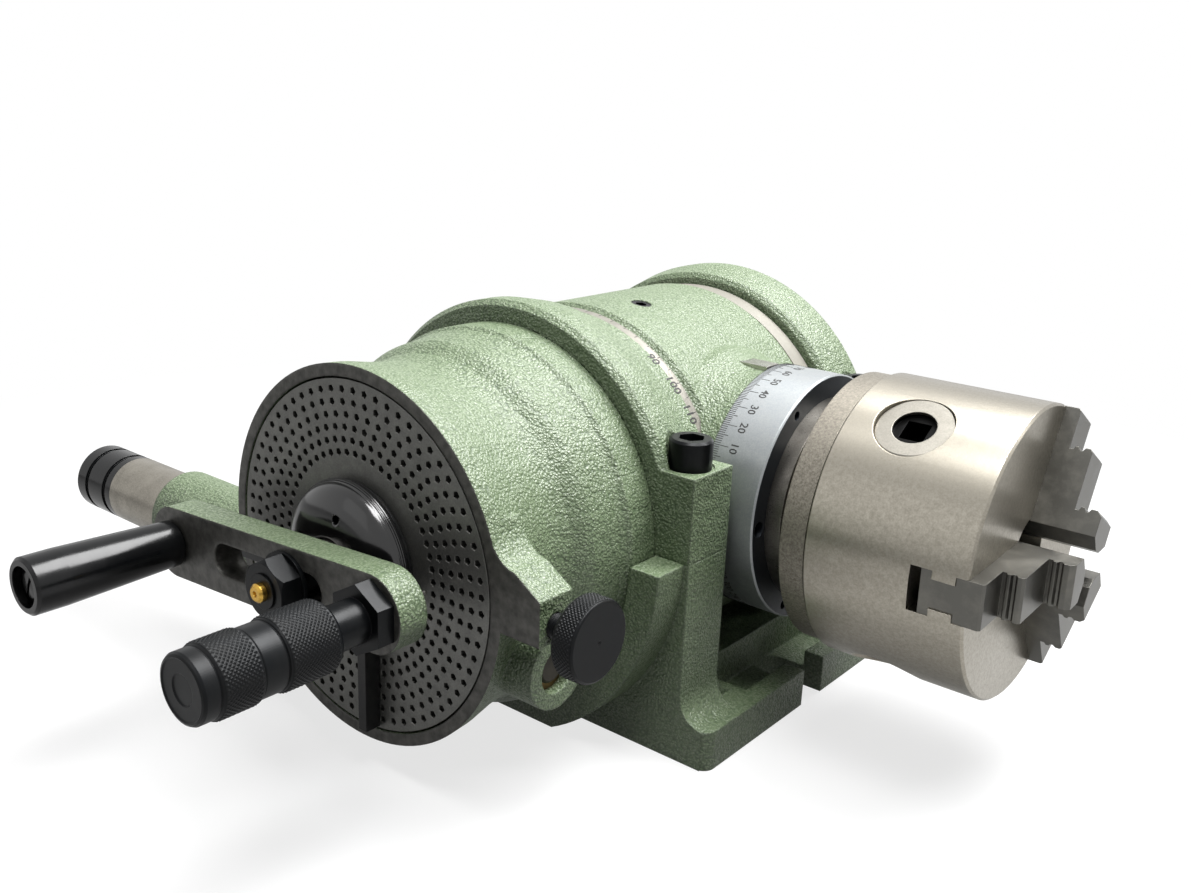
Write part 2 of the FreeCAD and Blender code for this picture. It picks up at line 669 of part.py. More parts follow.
def zero_mark_pad():
    """The small steel plate with the zero line, seated on the neck beside the ring."""
    end = NECK_END - 0.5
    top = SPINDLE_HEIGHT + NECK_RADIUS + PAD_THICKNESS
    pad = block(end - PAD_LENGTH, end, PAD_Y - PAD_WIDTH / 2, PAD_Y + PAD_WIDTH / 2, top - 8, top)
    return pad.cut(swivel_neck_core())


def swivel_neck_core():
    """The outside of the neck, used to seat the pad on it."""
    return neck_from(NECK_FLARE_START)


def drum_side(sign, half):
    """One side of the drum: the full radius, the shoulder that carries the scale and the trunnion."""
    profile = [(0, 0), (0, DRUM_RADIUS), (half, DRUM_RADIUS), (half + DRUM_EDGE, SHOULDER_RADIUS)]
    profile += [(SHOULDER_END, SHOULDER_RADIUS), (SHOULDER_END, TRUNNION_RADIUS)]
    profile += [(JOURNAL_END, TRUNNION_RADIUS), (JOURNAL_END, 0)]
    return turned([(sign * along, radius) for along, radius in profile], TILT, Y, Z)


def neck_from(start):
    """The solid neck from a distance along the spindle to its end face, flared towards the drum."""
    flare = NECK_FLARE - 2
    points = [(start, 0), (start, flare)]
    if start < NECK_FLARE_START:
        points.append((NECK_FLARE_START, flare))
    points += [(NECK_STEP_START, NECK_RADIUS + 1), (NECK_STEP_END, NECK_RADIUS), (NECK_END, NECK_RADIUS), (NECK_END, 0)]
    return turned(points, SPINDLE, X, Z)


def spindle():
    """The hollow spindle: rear thread, journals, wheel seat, flange and nose."""
    wheel = WORM_WHEEL_WIDTH / 2
    nut_end = REAR_END + 0.3 + NUT_LENGTH
    points = [(REAR_END, SPINDLE_BORE), (REAR_END, NUT_THREAD_RADIUS), (nut_end, NUT_THREAD_RADIUS)]
    points += [(nut_end, REAR_JOURNAL), (-wheel - 1, REAR_JOURNAL), (-wheel - 1, WHEEL_SEAT)]
    points += [(wheel, WHEEL_SEAT), (wheel, THRUST_COLLAR), (FRONT_BUSH_START - 1, THRUST_COLLAR)]
    points += [(FRONT_BUSH_START - 1, FRONT_JOURNAL), (RING_START, FRONT_JOURNAL), (RING_START, NOSE_RADIUS)]
    points += [(RING_END, NOSE_RADIUS), (RING_END, FLANGE_RADIUS), (FLANGE_END, FLANGE_RADIUS)]
    points += [(FLANGE_END, NOSE_RADIUS), (NOSE_END, NOSE_RADIUS), (NOSE_END, SPINDLE_BORE)]
    return turned(points, SPINDLE, X, Z)


def spindle_nut():
    """The slotted ring nut at the rear."""
    start = REAR_END + 0.3
    nut = tube(NUT_RADIUS, NUT_THREAD_RADIUS, start, start + NUT_LENGTH, SPINDLE, X)
    for index in range(NUT_SLOTS):
        slot = block(start - 1, start + NUT_LENGTH + 1, -2.5, 2.5,
                     SPINDLE_HEIGHT + NUT_RADIUS - 3, SPINDLE_HEIGHT + NUT_RADIUS + 1)
        nut = nut.cut(around(slot, SPINDLE, X, 360 / NUT_SLOTS * index))
    return nut


def worm_wheel():
    """Forty teeth on the spindle. Its tips run just clear of the worm."""
    half = WORM_WHEEL_WIDTH / 2
    wheel = toothed(WORM_WHEEL_TEETH, WORM_WHEEL_RADIUS, WORM_WHEEL_TOOTH, -half, half, SPINDLE, X, Z)
    return wheel.cut(rod(WHEEL_SEAT, -half - 1, half + 1, SPINDLE, X))


def worm_shaft():
    """The worm, its journals and the tail that carries the spur gear."""
    pitch = WORM_PITCH
    start = -WORM_THREADS * pitch / 2
    tail = SPUR_FRONT - SPUR_WIDTH - 1
    points = [(tail, 0), (tail, WORM_CORE)]
    for index in range(WORM_THREADS):
        at = start + index * pitch
        points += [(at, WORM_CORE), (at + 0.3 * pitch, WORM_RADIUS), (at + 0.6 * pitch, WORM_RADIUS)]
    end = WORM_FAR_END - 1
    points += [(-start, WORM_CORE), (end, WORM_CORE), (end, 0)]
    return turned(points, WORM, Y, Z)


def spur_gear(centre):
    """One gear of the equal pair between crank shaft and worm shaft."""
    start = SPUR_FRONT - SPUR_WIDTH
    return toothed(SPUR_TEETH, SPUR_RADIUS, SPUR_TOOTH, start, SPUR_FRONT, centre, Y, Z)


def worm_gear():
    """The driven spur gear on the worm shaft."""
    return spur_gear(WORM).cut(rod(WORM_CORE, SPUR_FRONT - SPUR_WIDTH - 1, SPUR_FRONT + 1, WORM, Y))


def crank_gear():
    """The driving spur gear on the crank shaft."""
    gear = around(spur_gear(TILT), TILT, Y, 180 / SPUR_TEETH)
    return gear.cut(rod(CRANK_SHAFT_RADIUS, SPUR_FRONT - SPUR_WIDTH - 1, SPUR_FRONT + 1, TILT, Y))


def graduated_ring():
    """The dial of the spindle, with two sizes of holes in its front face."""
    ring = turned([(RING_START, NOSE_RADIUS), (RING_START, RING_RADIUS - 0.6), (RING_START + 0.6, RING_RADIUS),
                   (RING_END - 0.8, RING_RADIUS), (RING_END, RING_RADIUS - 0.8), (RING_END, NOSE_RADIUS)],
                  SPINDLE, X, Z)
    holes = []
    for index in range(6):
        radius = RING_HOLE_LARGE if index % 2 else RING_HOLE_SMALL
        angle = math.radians(CHUCK_PHASE - 60 + 60 * index)
        centre = SPINDLE + Y * (RING_HOLE_CIRCLE * math.cos(angle)) + Z * (RING_HOLE_CIRCLE * math.sin(angle))
        holes.append(rod(radius, RING_END - RING_HOLE_DEPTH, RING_END + 1, centre, X))
    return ring.cut(Part.makeCompound(holes))


def bell_profile():
    """Outside of the index housing from its back to the rim."""
    rim_back = RIM_PLANE + RIM_BAND
    ridge = SHOULDER_RIDGE_Y
    middle = (BELL_RADIUS + WAIST_RADIUS) / 2 + 1.0
    return [(BELL_BACK, BELL_RADIUS), (ridge + 7.5, BELL_RADIUS), (ridge + 5.5, BELL_RADIUS - 1.4),
            (ridge + 2, BELL_RADIUS - 2.2), (ridge - 12, middle), (ridge - 15, middle - 1.2), (ridge - 20, WAIST_RADIUS + 1.6),
            (ridge - 25, WAIST_RADIUS + 0.4), (WAIST_Y, WAIST_RADIUS), (WAIST_Y - 14, WAIST_RADIUS + 1.5),
            (rim_back, RIM_RADIUS - 0.6), (RIM_PLANE, RIM_RADIUS)]


def index_housing():
    """The bell-shaped housing of the index plate, with the lock lug and both side-shaft bosses."""
    outline = [(BELL_BACK, 0)] + bell_profile() + [(RIM_PLANE, 0)]
    bell = turned(outline, TILT, Y, Z)
    rear_boss = rod(SIDE_BOSS_RADIUS, SIDE_BOSS_END, 0, SIDE, X)
    front_boss = rod(FRONT_BOSS_RADIUS, 0, FRONT_BOSS_END, SIDE, X)
    body = bell.fuse(rear_boss).fuse(front_boss).fuse(lock_lug())
    body = body.cut(block(-400, 400, RIM_PLANE - 40, RIM_PLANE, 0, 2 * SPINDLE_HEIGHT))
    cavity = WAIST_RADIUS - BELL_WALL
    cuts = [rod(PLATE_POCKET, RIM_PLANE - 1, CARRIER_BACK + SIDE_GAP, TILT, Y)]
    cuts.append(rod(cavity, CARRIER_BACK, DIAPHRAGM_FRONT, TILT, Y))
    cuts.append(rod(GEAR_CHAMBER_RADIUS, DIAPHRAGM_BACK, BELL_BACK + 1, TILT, Y))
    cuts.append(rod(CRANK_SHAFT_RADIUS + RUN_FIT, DIAPHRAGM_FRONT - 1, DIAPHRAGM_BACK + 1, TILT, Y))
    cuts.append(rod(SLEEVE_RADIUS, SIDE_BOSS_END - 1, SIDE_BOSS_END + SLEEVE_SEAT, SIDE, X))
    cuts.append(rod(SIDE_SHAFT_RADIUS + 1, SIDE_BOSS_END, 0, SIDE, X))
    cuts.append(rod(FRONT_BUSH_RADIUS, 0, FRONT_BOSS_END + 1, SIDE, X))
    lock = FreeCAD.Vector(0, LOCK_Y, TILT_HEIGHT)
    cuts.append(rod(LOCK_RADIUS + RUN_FIT, PLATE_POCKET - 1, LUG_OUT + 1, lock, X))
    return body.cut(Part.makeCompound(cuts)).removeSplitter()


def lock_lug():
    """The wedge-topped lug that carries the plate lock screw."""
    points = [(0, LUG_BOTTOM), (LUG_OUT, LUG_BOTTOM), (LUG_OUT, LUG_TOP_OUT)]
    rim_x = (RIM_RADIUS - 0.5) * math.cos(math.radians(LUG_SWEEP_ANGLE))
    rim_z = (RIM_RADIUS - 0.5) * math.sin(math.radians(LUG_SWEEP_ANGLE))
    for index in range(7):
        share = index / 6
        x = LUG_KNEE * (1 - share) ** 2 + 2 * LUG_SWEEP_X * share * (1 - share) + rim_x * share ** 2
        z = LUG_TOP * (1 - share) ** 2 + 2 * (LUG_TOP + 0.6) * share * (1 - share) + rim_z * share ** 2
        points.append((x, z))
    points.append((0, rim_z))
    corners = [FreeCAD.Vector(x, RIM_PLANE, TILT_HEIGHT + z) for x, z in points]
    return prism(corners, Y * LUG_DEPTH)


def lock_screw():
    """The knurled thumb screw that holds the plate carrier still."""
    tip = CARRIER_RADIUS + SIDE_GAP
    knob = LOCK_KNOB_END - LOCK_KNOB_LENGTH
    centre = FreeCAD.Vector(0, LOCK_Y, TILT_HEIGHT)
    return turned([(tip, 0), (tip, LOCK_TIP_RADIUS), (tip + 4, LOCK_TIP_RADIUS), (tip + 4, LOCK_RADIUS),
                   (knob, LOCK_RADIUS), (knob, LOCK_KNOB_RADIUS - 1), (knob + 1, LOCK_KNOB_RADIUS),
                   (LOCK_KNOB_END - 1, LOCK_KNOB_RADIUS), (LOCK_KNOB_END, LOCK_KNOB_RADIUS - 1),
                   (LOCK_KNOB_END, 0)], centre, X, Z)


def side_sleeve():
    """The ground steel sleeve in the rear boss."""
    seat = SIDE_BOSS_END + SLEEVE_SEAT
    return tube(SLEEVE_RADIUS, SIDE_SHAFT_RADIUS + RUN_FIT, SLEEVE_END, seat, SIDE, X)


def side_cap():
    """The black cap over the end of the side shaft, with its ring grooves."""
    inner = SIDE_SHAFT_RADIUS + CAP_WALL
    radius = SLEEVE_RADIUS
    points = [(SLEEVE_END, inner), (SLEEVE_END, radius)]
    for centre in reversed(CAP_GROOVES):
        high = centre + CAP_GROOVE_WIDTH / 2
        low = centre - CAP_GROOVE_WIDTH / 2
        points += [(high, radius), (high, radius - CAP_GROOVE_DEPTH), (low, radius - CAP_GROOVE_DEPTH), (low, radius)]
    points += [(CAP_END + 2, radius), (CAP_END, radius - 2), (CAP_END, 0), (CAP_END + CAP_WALL, 0)]
    points += [(CAP_END + CAP_WALL, inner)]
    return turned(points, SIDE, X, Z)


def side_shaft():
    """The cross shaft below the crank shaft, with its skew gear blank."""
    half = SKEW_GEAR_LENGTH / 2
    start = CAP_END + CAP_WALL + 3
    end = FRONT_BOSS_END - FRONT_BUSH_SINK + 2
    return turned([(start, 0), (start, SIDE_SHAFT_RADIUS - 1), (start + 1, SIDE_SHAFT_RADIUS),
                   (-half, SIDE_SHAFT_RADIUS), (-half, SKEW_GEAR_RADIUS), (half, SKEW_GEAR_RADIUS),
                   (half, SIDE_SHAFT_RADIUS), (end - 1, SIDE_SHAFT_RADIUS), (end, SIDE_SHAFT_RADIUS - 1), (end, 0)],
                  SIDE, X, Z)


def side_bush():
    """The bronze bush in the front boss."""
    end = FRONT_BOSS_END - FRONT_BUSH_SINK
    return tube(FRONT_BUSH_RADIUS, SIDE_SHAFT_RADIUS + RUN_FIT, end - FRONT_BUSH_LENGTH, end, SIDE, X)


def hole_prisms():
    """The blind holes of all six circles, one in line with the crank on each circle."""
    holes = []
    for row, count in enumerate(HOLE_COUNTS):
        circle = HOLE_OUTER_CIRCLE - row * HOLE_CIRCLE_STEP
        for index in range(count):
            angle = math.radians(CRANK_ANGLE) + 2 * math.pi * index / count
            corners = []
            for side in range(HOLE_SIDES):
                turn = 2 * math.pi * side / HOLE_SIDES
                x = circle * math.cos(angle) + HOLE_RADIUS * math.cos(turn)
                z = circle * math.sin(angle) + HOLE_RADIUS * math.sin(turn)
                corners.append(FreeCAD.Vector(x, PLATE_FRONT, TILT_HEIGHT + z))
            holes.append(Part.makePolygon(corners + corners[:1]))
    return holes


def index_plate():
    """The dividing plate: a front skin with every hole circle, fused to a plain back."""
    rim = Part.Wire(Part.makeCircle(PLATE_RADIUS, TILT + Y * PLATE_FRONT, Y))
    bore = Part.Wire(Part.makeCircle(PLATE_BORE, TILT + Y * PLATE_FRONT, Y))
    front = Part.Face([rim, bore] + hole_prisms(), "Part::FaceMakerBullseye")
    skin = front.extrude(Y * HOLE_DEPTH)
    back = tube(PLATE_RADIUS, PLATE_BORE, PLATE_FRONT + HOLE_DEPTH, PLATE_BACK, TILT, Y)
    return skin.fuse(back).removeSplitter()


def plate_carrier():
    """The flange behind the plate, with the skew gear blank on its hub."""
    gear_end = SIDE_Y + SKEW_GEAR_LENGTH / 2
    return turned([(PLATE_FRONT + 1, CRANK_SHAFT_RADIUS + RUN_FIT), (PLATE_FRONT + 1, PLATE_BORE),
                   (PLATE_BACK, PLATE_BORE), (PLATE_BACK, CARRIER_RADIUS), (CARRIER_BACK, CARRIER_RADIUS),
                   (CARRIER_BACK, SKEW_GEAR_RADIUS), (gear_end, SKEW_GEAR_RADIUS),
                   (gear_end, CRANK_SHAFT_RADIUS + RUN_FIT)], TILT, Y, Z)


def sector_arm(ring_start, towards, hand):
    """A sector arm: flat ring, thin root and upright bar, pointing towards an angle in degrees."""
    ring = tube(SECTOR_RING_RADIUS, HUB_TOP_RADIUS + RUN_FIT, ring_start - SECTOR_RING_THICKNESS, ring_start, TILT, Y)
    edge = hand * SECTOR_BAR_OFFSET
    far = edge + hand * SECTOR_BAR_WIDTH
    low, high = min(edge, far), max(edge, far)
    bar_start = HUB_RADIUS + 0.6
    bar = block(bar_start, SECTOR_REACH, STACK_FRONT - SECTOR_BAR_HEIGHT, STACK_FRONT, low, high)
    root = Part.makeBox(bar_start - 18, SECTOR_RING_THICKNESS, high - low,
                        FreeCAD.Vector(20, ring_start - SECTOR_RING_THICKNESS, low))
    shape = bar.fuse(root)
    shape.translate(Z * TILT_HEIGHT)
    arm = ring.fuse(around(shape, TILT, Y, -towards))
    return arm.removeSplitter()


def sector_arm_lower():
    """The sector arm that hangs down, on the outer ring of the stack."""
    return sector_arm(STACK_FRONT - SECTOR_RING_THICKNESS - SIDE_GAP, -90, 1)


def sector_arm_rear():
    """The sector arm behind the crank arm, on the inner ring of the stack."""
    return sector_arm(STACK_FRONT, 180 + CRANK_ANGLE, 1)


def sector_hub():
    """The domed friction cap that holds the sector arms on the plate."""
    inner = SPACER_RADIUS + 0.5
    rise = HUB_RISE
    outside = [(HUB_BACK, HUB_RADIUS), (HUB_BACK - 0.18 * rise, HUB_RADIUS - 1), (HUB_BACK - 0.45 * rise, 29.5),
               (HUB_BACK - 0.72 * rise, 24.5), (HUB_BACK - 0.9 * rise, 19.5), (HUB_FRONT, HUB_TOP_RADIUS)]
    base = [(HUB_FRONT, inner), (PLATE_FRONT, inner), (PLATE_FRONT, HUB_TOP_RADIUS), (HUB_BACK, HUB_TOP_RADIUS)]
    dome = turned(outside + base, TILT, Y, Z)
    centre = on_crank(0, 0) + Z * HUB_HOLE_CIRCLE + X * 4
    return dome.cut(rod(HUB_HOLE_RADIUS, HUB_FRONT - 1, HUB_BACK + 1, centre, Y))


def crank_shaft():
    """The shaft from the spur gear out to the crank nut."""
    end = ARM_FRONT - CRANK_WASHER_THICKNESS - CRANK_NUT_LENGTH - CRANK_END_PROUD
    return rod(CRANK_SHAFT_RADIUS, end, SPUR_FRONT + 1, TILT, Y)


def arm_spacer():
    """The ground collar between the hub and the crank arm."""
    return tube(SPACER_RADIUS, CRANK_SHAFT_RADIUS, ARM_BACK, PLATE_FRONT, TILT, Y)


def crank_arm():
    """The arm with round ends, a slot for the shaft and bores for plunger and handle."""
    near = PLUNGER_ARM
    far = -HANDLE_ARM
    half = ARM_HALF_WIDTH
    flat = Part.makeBox(near - far, ARM_THICKNESS, 2 * half, FreeCAD.Vector(far, ARM_FRONT, TILT_HEIGHT - half))
    arm = flat.fuse(rod(half, ARM_FRONT, ARM_BACK, TILT + X * near, Y))
    arm = arm.fuse(rod(half, ARM_FRONT, ARM_BACK, TILT + X * far, Y))
    slot = CRANK_SHAFT_RADIUS + SLOT_CLEARANCE
    left = ARM_SLOT_END + slot
    right = ARM_SLOT_NEAR - slot
    cuts = [Part.makeBox(right - left, ARM_THICKNESS + 2, 2 * slot,
                         FreeCAD.Vector(left, ARM_FRONT - 1, TILT_HEIGHT - slot))]
    cuts.append(rod(slot, ARM_FRONT - 1, ARM_BACK + 1, TILT + X * left, Y))
    cuts.append(rod(slot, ARM_FRONT - 1, ARM_BACK + 1, TILT + X * right, Y))
    cuts.append(rod(PLUNGER_SHANK_RADIUS, ARM_FRONT - 1, ARM_BACK + 1, TILT + X * near, Y))
    cuts.append(rod(HANDLE_PIN_RADIUS, ARM_FRONT - 1, ARM_BACK + 1, TILT + X * far, Y))
    arm = arm.cut(Part.makeCompound(cuts)).removeSplitter()
    return around(arm, TILT, Y, -CRANK_ANGLE)


def crank_washer():
    """The washer under the crank nut."""
    return tube(CRANK_WASHER_RADIUS, CRANK_SHAFT_RADIUS, ARM_FRONT - CRANK_WASHER_THICKNESS, ARM_FRONT, TILT, Y)


def crank_nut():
    """The hexagon nut on the crank shaft."""
    back = ARM_FRONT - CRANK_WASHER_THICKNESS
    front = back - CRANK_NUT_LENGTH
    flats = CRANK_NUT_FLATS
    nut = hexagon(flats, front, back, TILT, Y, Z)
    chamfer = turned([(front, 0), (front, flats / 2), (front + 1.5, flats / 2 + 1.8),
                      (back, flats / 2 + 1.8), (back, 0)], TILT, Y, Z)
    return nut.common(chamfer).cut(rod(CRANK_SHAFT_RADIUS, front - 1, back + 1, TILT, Y))


def grease_nipple():
    """The brass oiler in the end of the crank shaft."""
    start = ARM_FRONT - CRANK_WASHER_THICKNESS - CRANK_NUT_LENGTH - CRANK_END_PROUD
    front = start - NIPPLE_LENGTH
    return turned([(start, 0), (start, NIPPLE_RADIUS), (front + 1, NIPPLE_RADIUS), (front, NIPPLE_RADIUS - 1),
                   (front, 1.2), (front + 1.2, 0.8), (front + 1.2, 0)], TILT, Y, Z)


def plunger_housing():
    """The screwed body of the index plunger: shank in the arm, hexagon and barrel."""
    centre = on_crank(PLUNGER_ARM, 0)
    hexagon_end = ARM_FRONT - PLUNGER_HEX_LENGTH
    shank = rod(PLUNGER_SHANK_RADIUS, ARM_FRONT, ARM_BACK, centre, Y)
    body = shank.fuse(hexagon(PLUNGER_HEX_FLATS, hexagon_end, ARM_FRONT, centre, Y, Z))
    body = body.fuse(rod(BARREL_RADIUS, BARREL_END, hexagon_end, centre, Y))
    return body.cut(rod(PIN_RADIUS + RUN_FIT, BARREL_END - 1, ARM_BACK + 1, centre, Y))


def plunger_knob():
    """The two-band knurled knob that pulls the pin."""
    bore = BARREL_RADIUS + RUN_FIT
    points = [(KNOB_START, bore), (KNOB_START, BAND_RADIUS - 1), (KNOB_START - KNOB_CHAMFER, KNURL_RADIUS)]
    points += [(KNURL_ONE_END, KNURL_RADIUS), (KNURL_ONE_END - 0.6, BAND_RADIUS)]
    points += [(KNURL_TWO_START + 0.6, BAND_RADIUS), (KNURL_TWO_START, KNURL_RADIUS)]
    points += [(KNURL_TWO_END, KNURL_RADIUS), (KNURL_TWO_END - 0.6, BAND_RADIUS)]
    points += [(KNOB_END + KNOB_CHAMFER, BAND_RADIUS), (KNOB_END, BAND_RADIUS - KNOB_CHAMFER), (KNOB_END, 0)]
    points += [(KNOB_BORE_END, 0), (KNOB_BORE_END, bore)]
    return turned(points, on_crank(PLUNGER_ARM, 0), Y, Z)


def plunger_pin():
    """The pin that drops into a hole of the plate, drawn back clear of the sector arms."""
    centre = on_crank(PLUNGER_ARM, 0)
    step = PIN_TIP_Y - PIN_TIP_LENGTH
    return turned([(KNOB_BORE_END, 0), (KNOB_BORE_END, PIN_RADIUS), (step - 2, PIN_RADIUS), (step, PIN_TIP_RADIUS),
                   (PIN_TIP_Y - 1, PIN_TIP_RADIUS), (PIN_TIP_Y, PIN_TIP_RADIUS - 0.5), (PIN_TIP_Y, 0)],
                  centre, Y, Z)


def handle_pin():
    """The slotted screw that the handle turns on."""
    centre = on_crank(-HANDLE_ARM, 0)
    head = HANDLE_END + HANDLE_HEAD_SINK
    neck = head + HANDLE_HEAD_LENGTH
    pin = turned([(ARM_BACK, 0), (ARM_BACK, HANDLE_PIN_RADIUS), (neck, HANDLE_PIN_RADIUS), (neck, HANDLE_HEAD_RADIUS),
                  (head + 1.5, HANDLE_HEAD_RADIUS), (head + 0.4, HANDLE_HEAD_RADIUS - 3), (head, 0)], centre, Y, Z)
    half = HANDLE_SLOT_WIDTH / 2
    slot = block(centre.x - half, centre.x + half, head - 1, head + 2, centre.z - 9, centre.z + 9)
    return pin.cut(around(slot, centre, Y, 25))


def handle_grip():
    """The tapered handle, free to turn on its screw."""
    centre = on_crank(-HANDLE_ARM, 0)
    start = ARM_FRONT - SIDE_GAP
    neck = HANDLE_END + HANDLE_HEAD_SINK + HANDLE_HEAD_LENGTH + SIDE_GAP
    bore = HANDLE_PIN_RADIUS + RUN_FIT
    seat = HANDLE_HEAD_RADIUS + 0.4
    outside = [(start, bore), (start, HANDLE_BASE_RADIUS - 1), (start - 1, HANDLE_BASE_RADIUS),
               (start - 24, HANDLE_BASE_RADIUS + 0.9), (HANDLE_END + 14, HANDLE_END_RADIUS),
               (HANDLE_END + 1.2, HANDLE_END_RADIUS), (HANDLE_END, HANDLE_END_RADIUS - 1.2)]
    return turned(outside + [(HANDLE_END, seat), (neck, seat), (neck, bore)], centre, Y, Z)


def chuck_back_plate():
    """The adapter plate between the spindle nose and the chuck."""
    start = FLANGE_END
    return turned([(start, NOSE_RADIUS), (start, BACK_PLATE_HUB), (BACK_PLATE_START, BACK_PLATE_HUB),
                   (BACK_PLATE_START, BACK_PLATE_RADIUS), (BACK_PLATE_END, BACK_PLATE_RADIUS),
                   (BACK_PLATE_END, BACK_PLATE_RADIUS - 1), (CHUCK_BACK, BACK_PLATE_RADIUS - 1),
                   (CHUCK_BACK, CHUCK_HUB_RADIUS), (NOSE_END, CHUCK_HUB_RADIUS), (NOSE_END, NOSE_RADIUS)],
                  SPINDLE, X, Z)


def on_chuck(shape, index):
    """A copy of a shape drawn on the +Y side, turned to one of the three jaw places."""
    return around(shape, SPINDLE, X, CHUCK_PHASE + 120 * index)


def guide_slot():
    """The stepped slot that guides one jaw, drawn pointing to +Y."""
    half = JAW_WIDTH / 2 + RUN_FIT
    neck = JAW_NECK_WIDTH / 2 + RUN_FIT
    low = SPINDLE_HEIGHT
    reach = CHUCK_RADIUS + 1
    wide = block(CAVITY_END, CHUCK_FACE - JAW_FLANGE_TOP + RUN_FIT, 0, reach, low - half, low + half)
    middle = block(CAVITY_END, CHUCK_FACE + 1, 0, reach, low - neck, low + neck)
    top = block(CHUCK_FACE - JAW_NECK_TOP - RUN_FIT, CHUCK_FACE + 1, 0, reach, low - half, low + half)
    return wide.fuse(middle).fuse(top)


def chuck_body():
    """The chuck body: through bore, scroll cavity, three guide slots and three pinion bores."""
    edge = CHUCK_EDGE
    points = [(CHUCK_BACK, CAVITY_RADIUS), (CHUCK_BACK, CHUCK_RADIUS - edge), (CHUCK_BACK + edge, CHUCK_RADIUS)]
    points += [(CHUCK_FACE - edge, CHUCK_RADIUS), (CHUCK_FACE, CHUCK_RADIUS - edge), (CHUCK_FACE, CHUCK_BORE)]
    points += [(CHUCK_BACK + REAR_COVER_THICKNESS, CHUCK_BORE)]
    points += [(CHUCK_BACK + REAR_COVER_THICKNESS, CHUCK_HUB_RADIUS), (CAVITY_END, CHUCK_HUB_RADIUS)]
    points += [(CAVITY_END, CAVITY_RADIUS)]
    body = turned(points, SPINDLE, X, Z)
    cuts = []
    for index in range(JAW_COUNT):
        cuts.append(on_chuck(guide_slot(), index))
        bore = rod(PINION_RADIUS + RUN_FIT, CAVITY_RADIUS - 2, CHUCK_RADIUS + 1, SPINDLE + X * PINION_X, Y)
        cuts.append(on_chuck(around(bore, SPINDLE, X, 60), index))
        cuts.append(on_chuck(screw_space(), index))
    return body.cut(Part.makeCompound(cuts)).removeSplitter()


def screw_space():
    """The room of one back-plate screw, its head sunk in the plate, 30 degrees from the jaw."""
    centre = SPINDLE + Y * CHUCK_SCREW_CIRCLE
    head = rod(CHUCK_SCREW_HEAD, BACK_PLATE_START, BACK_PLATE_START + CHUCK_SCREW_HEAD_LENGTH, centre, X)
    shank = rod(CHUCK_SCREW_RADIUS, BACK_PLATE_START, BACK_PLATE_START + CHUCK_SCREW_LENGTH, centre, X)
    return around(head.fuse(shank), SPINDLE, X, 30)


def chuck_back_plate_drilled():
    """The back plate with its screw holes."""
    plate = chuck_back_plate()
    for index in range(JAW_COUNT):
        plate = plate.cut(on_chuck(screw_space(), index))
    return plate


def chuck_screws():
    """Three cap screws from the back plate into the chuck body."""
    screws = []
    for index in range(JAW_COUNT):
        centre = SPINDLE + Y * CHUCK_SCREW_CIRCLE
        socket = hexagon(5.0, BACK_PLATE_START - 1, BACK_PLATE_START + 3, centre, X, Z)
        screws.append(on_chuck(screw_space().cut(around(socket, SPINDLE, X, 30)), index))
    return Part.makeCompound(screws)


def chuck_rear_cover():
    """The inner cover behind the pinions."""
    end = CHUCK_BACK + REAR_COVER_THICKNESS
    return tube(CAVITY_RADIUS, CHUCK_BORE, CHUCK_BACK, end, SPINDLE, X)


def scroll_plate():
    """The scroll: ridged front, bevelled back over the pinions."""
    inner = CHUCK_HUB_RADIUS + RUN_FIT
    face = SCROLL_FACE
    ridge = face + SCROLL_RIDGE
    points = [(face - SCROLL_HUB_THICKNESS, inner), (face - SCROLL_HUB_THICKNESS, PINION_CONE_INNER)]
    points += [(face - SCROLL_RIM_THICKNESS, SCROLL_RADIUS), (ridge, SCROLL_RADIUS)]
    radius = SCROLL_RADIUS - SCROLL_RIDGE_WIDTH
    points += [(ridge, radius), (face, radius)]
    for _ in range(SCROLL_RIDGES - 1):
        radius -= SCROLL_PITCH - SCROLL_RIDGE_WIDTH
        points += [(face, radius), (ridge, radius)]
        radius -= SCROLL_RIDGE_WIDTH
        points += [(ridge, radius), (face, radius)]
    return turned(points + [(face, inner)], SPINDLE, X, Z)


def chuck_pinion(index):
    """A key pinion: drilled and squared head in the body, cone under the scroll."""
    centre = SPINDLE + X * PINION_X
    top = CHUCK_RADIUS - PINION_SINK
    head = top - PINION_HEAD_LENGTH
    pinion = turned([(PINION_CONE_INNER, 0), (PINION_CONE_INNER, PINION_CONE_TIP), (head, PINION_CONE_ROOT),
                     (head, PINION_RADIUS), (top - 0.6, PINION_RADIUS), (top, PINION_RADIUS - 0.6), (top, 0)],
                    centre, Y, Z)
    half = PINION_SQUARE / 2
    square = block(PINION_X - half, PINION_X + half, top - PINION_SQUARE_DEPTH, top + 1,
                   SPINDLE_HEIGHT - half, SPINDLE_HEIGHT + half)
    mouth = rod(PINION_COUNTERBORE, top - PINION_COUNTERBORE_DEPTH, top + 1, centre, Y)
    pinion = pinion.cut(square).cut(mouth)
    return on_chuck(around(pinion, SPINDLE, X, 60), index)


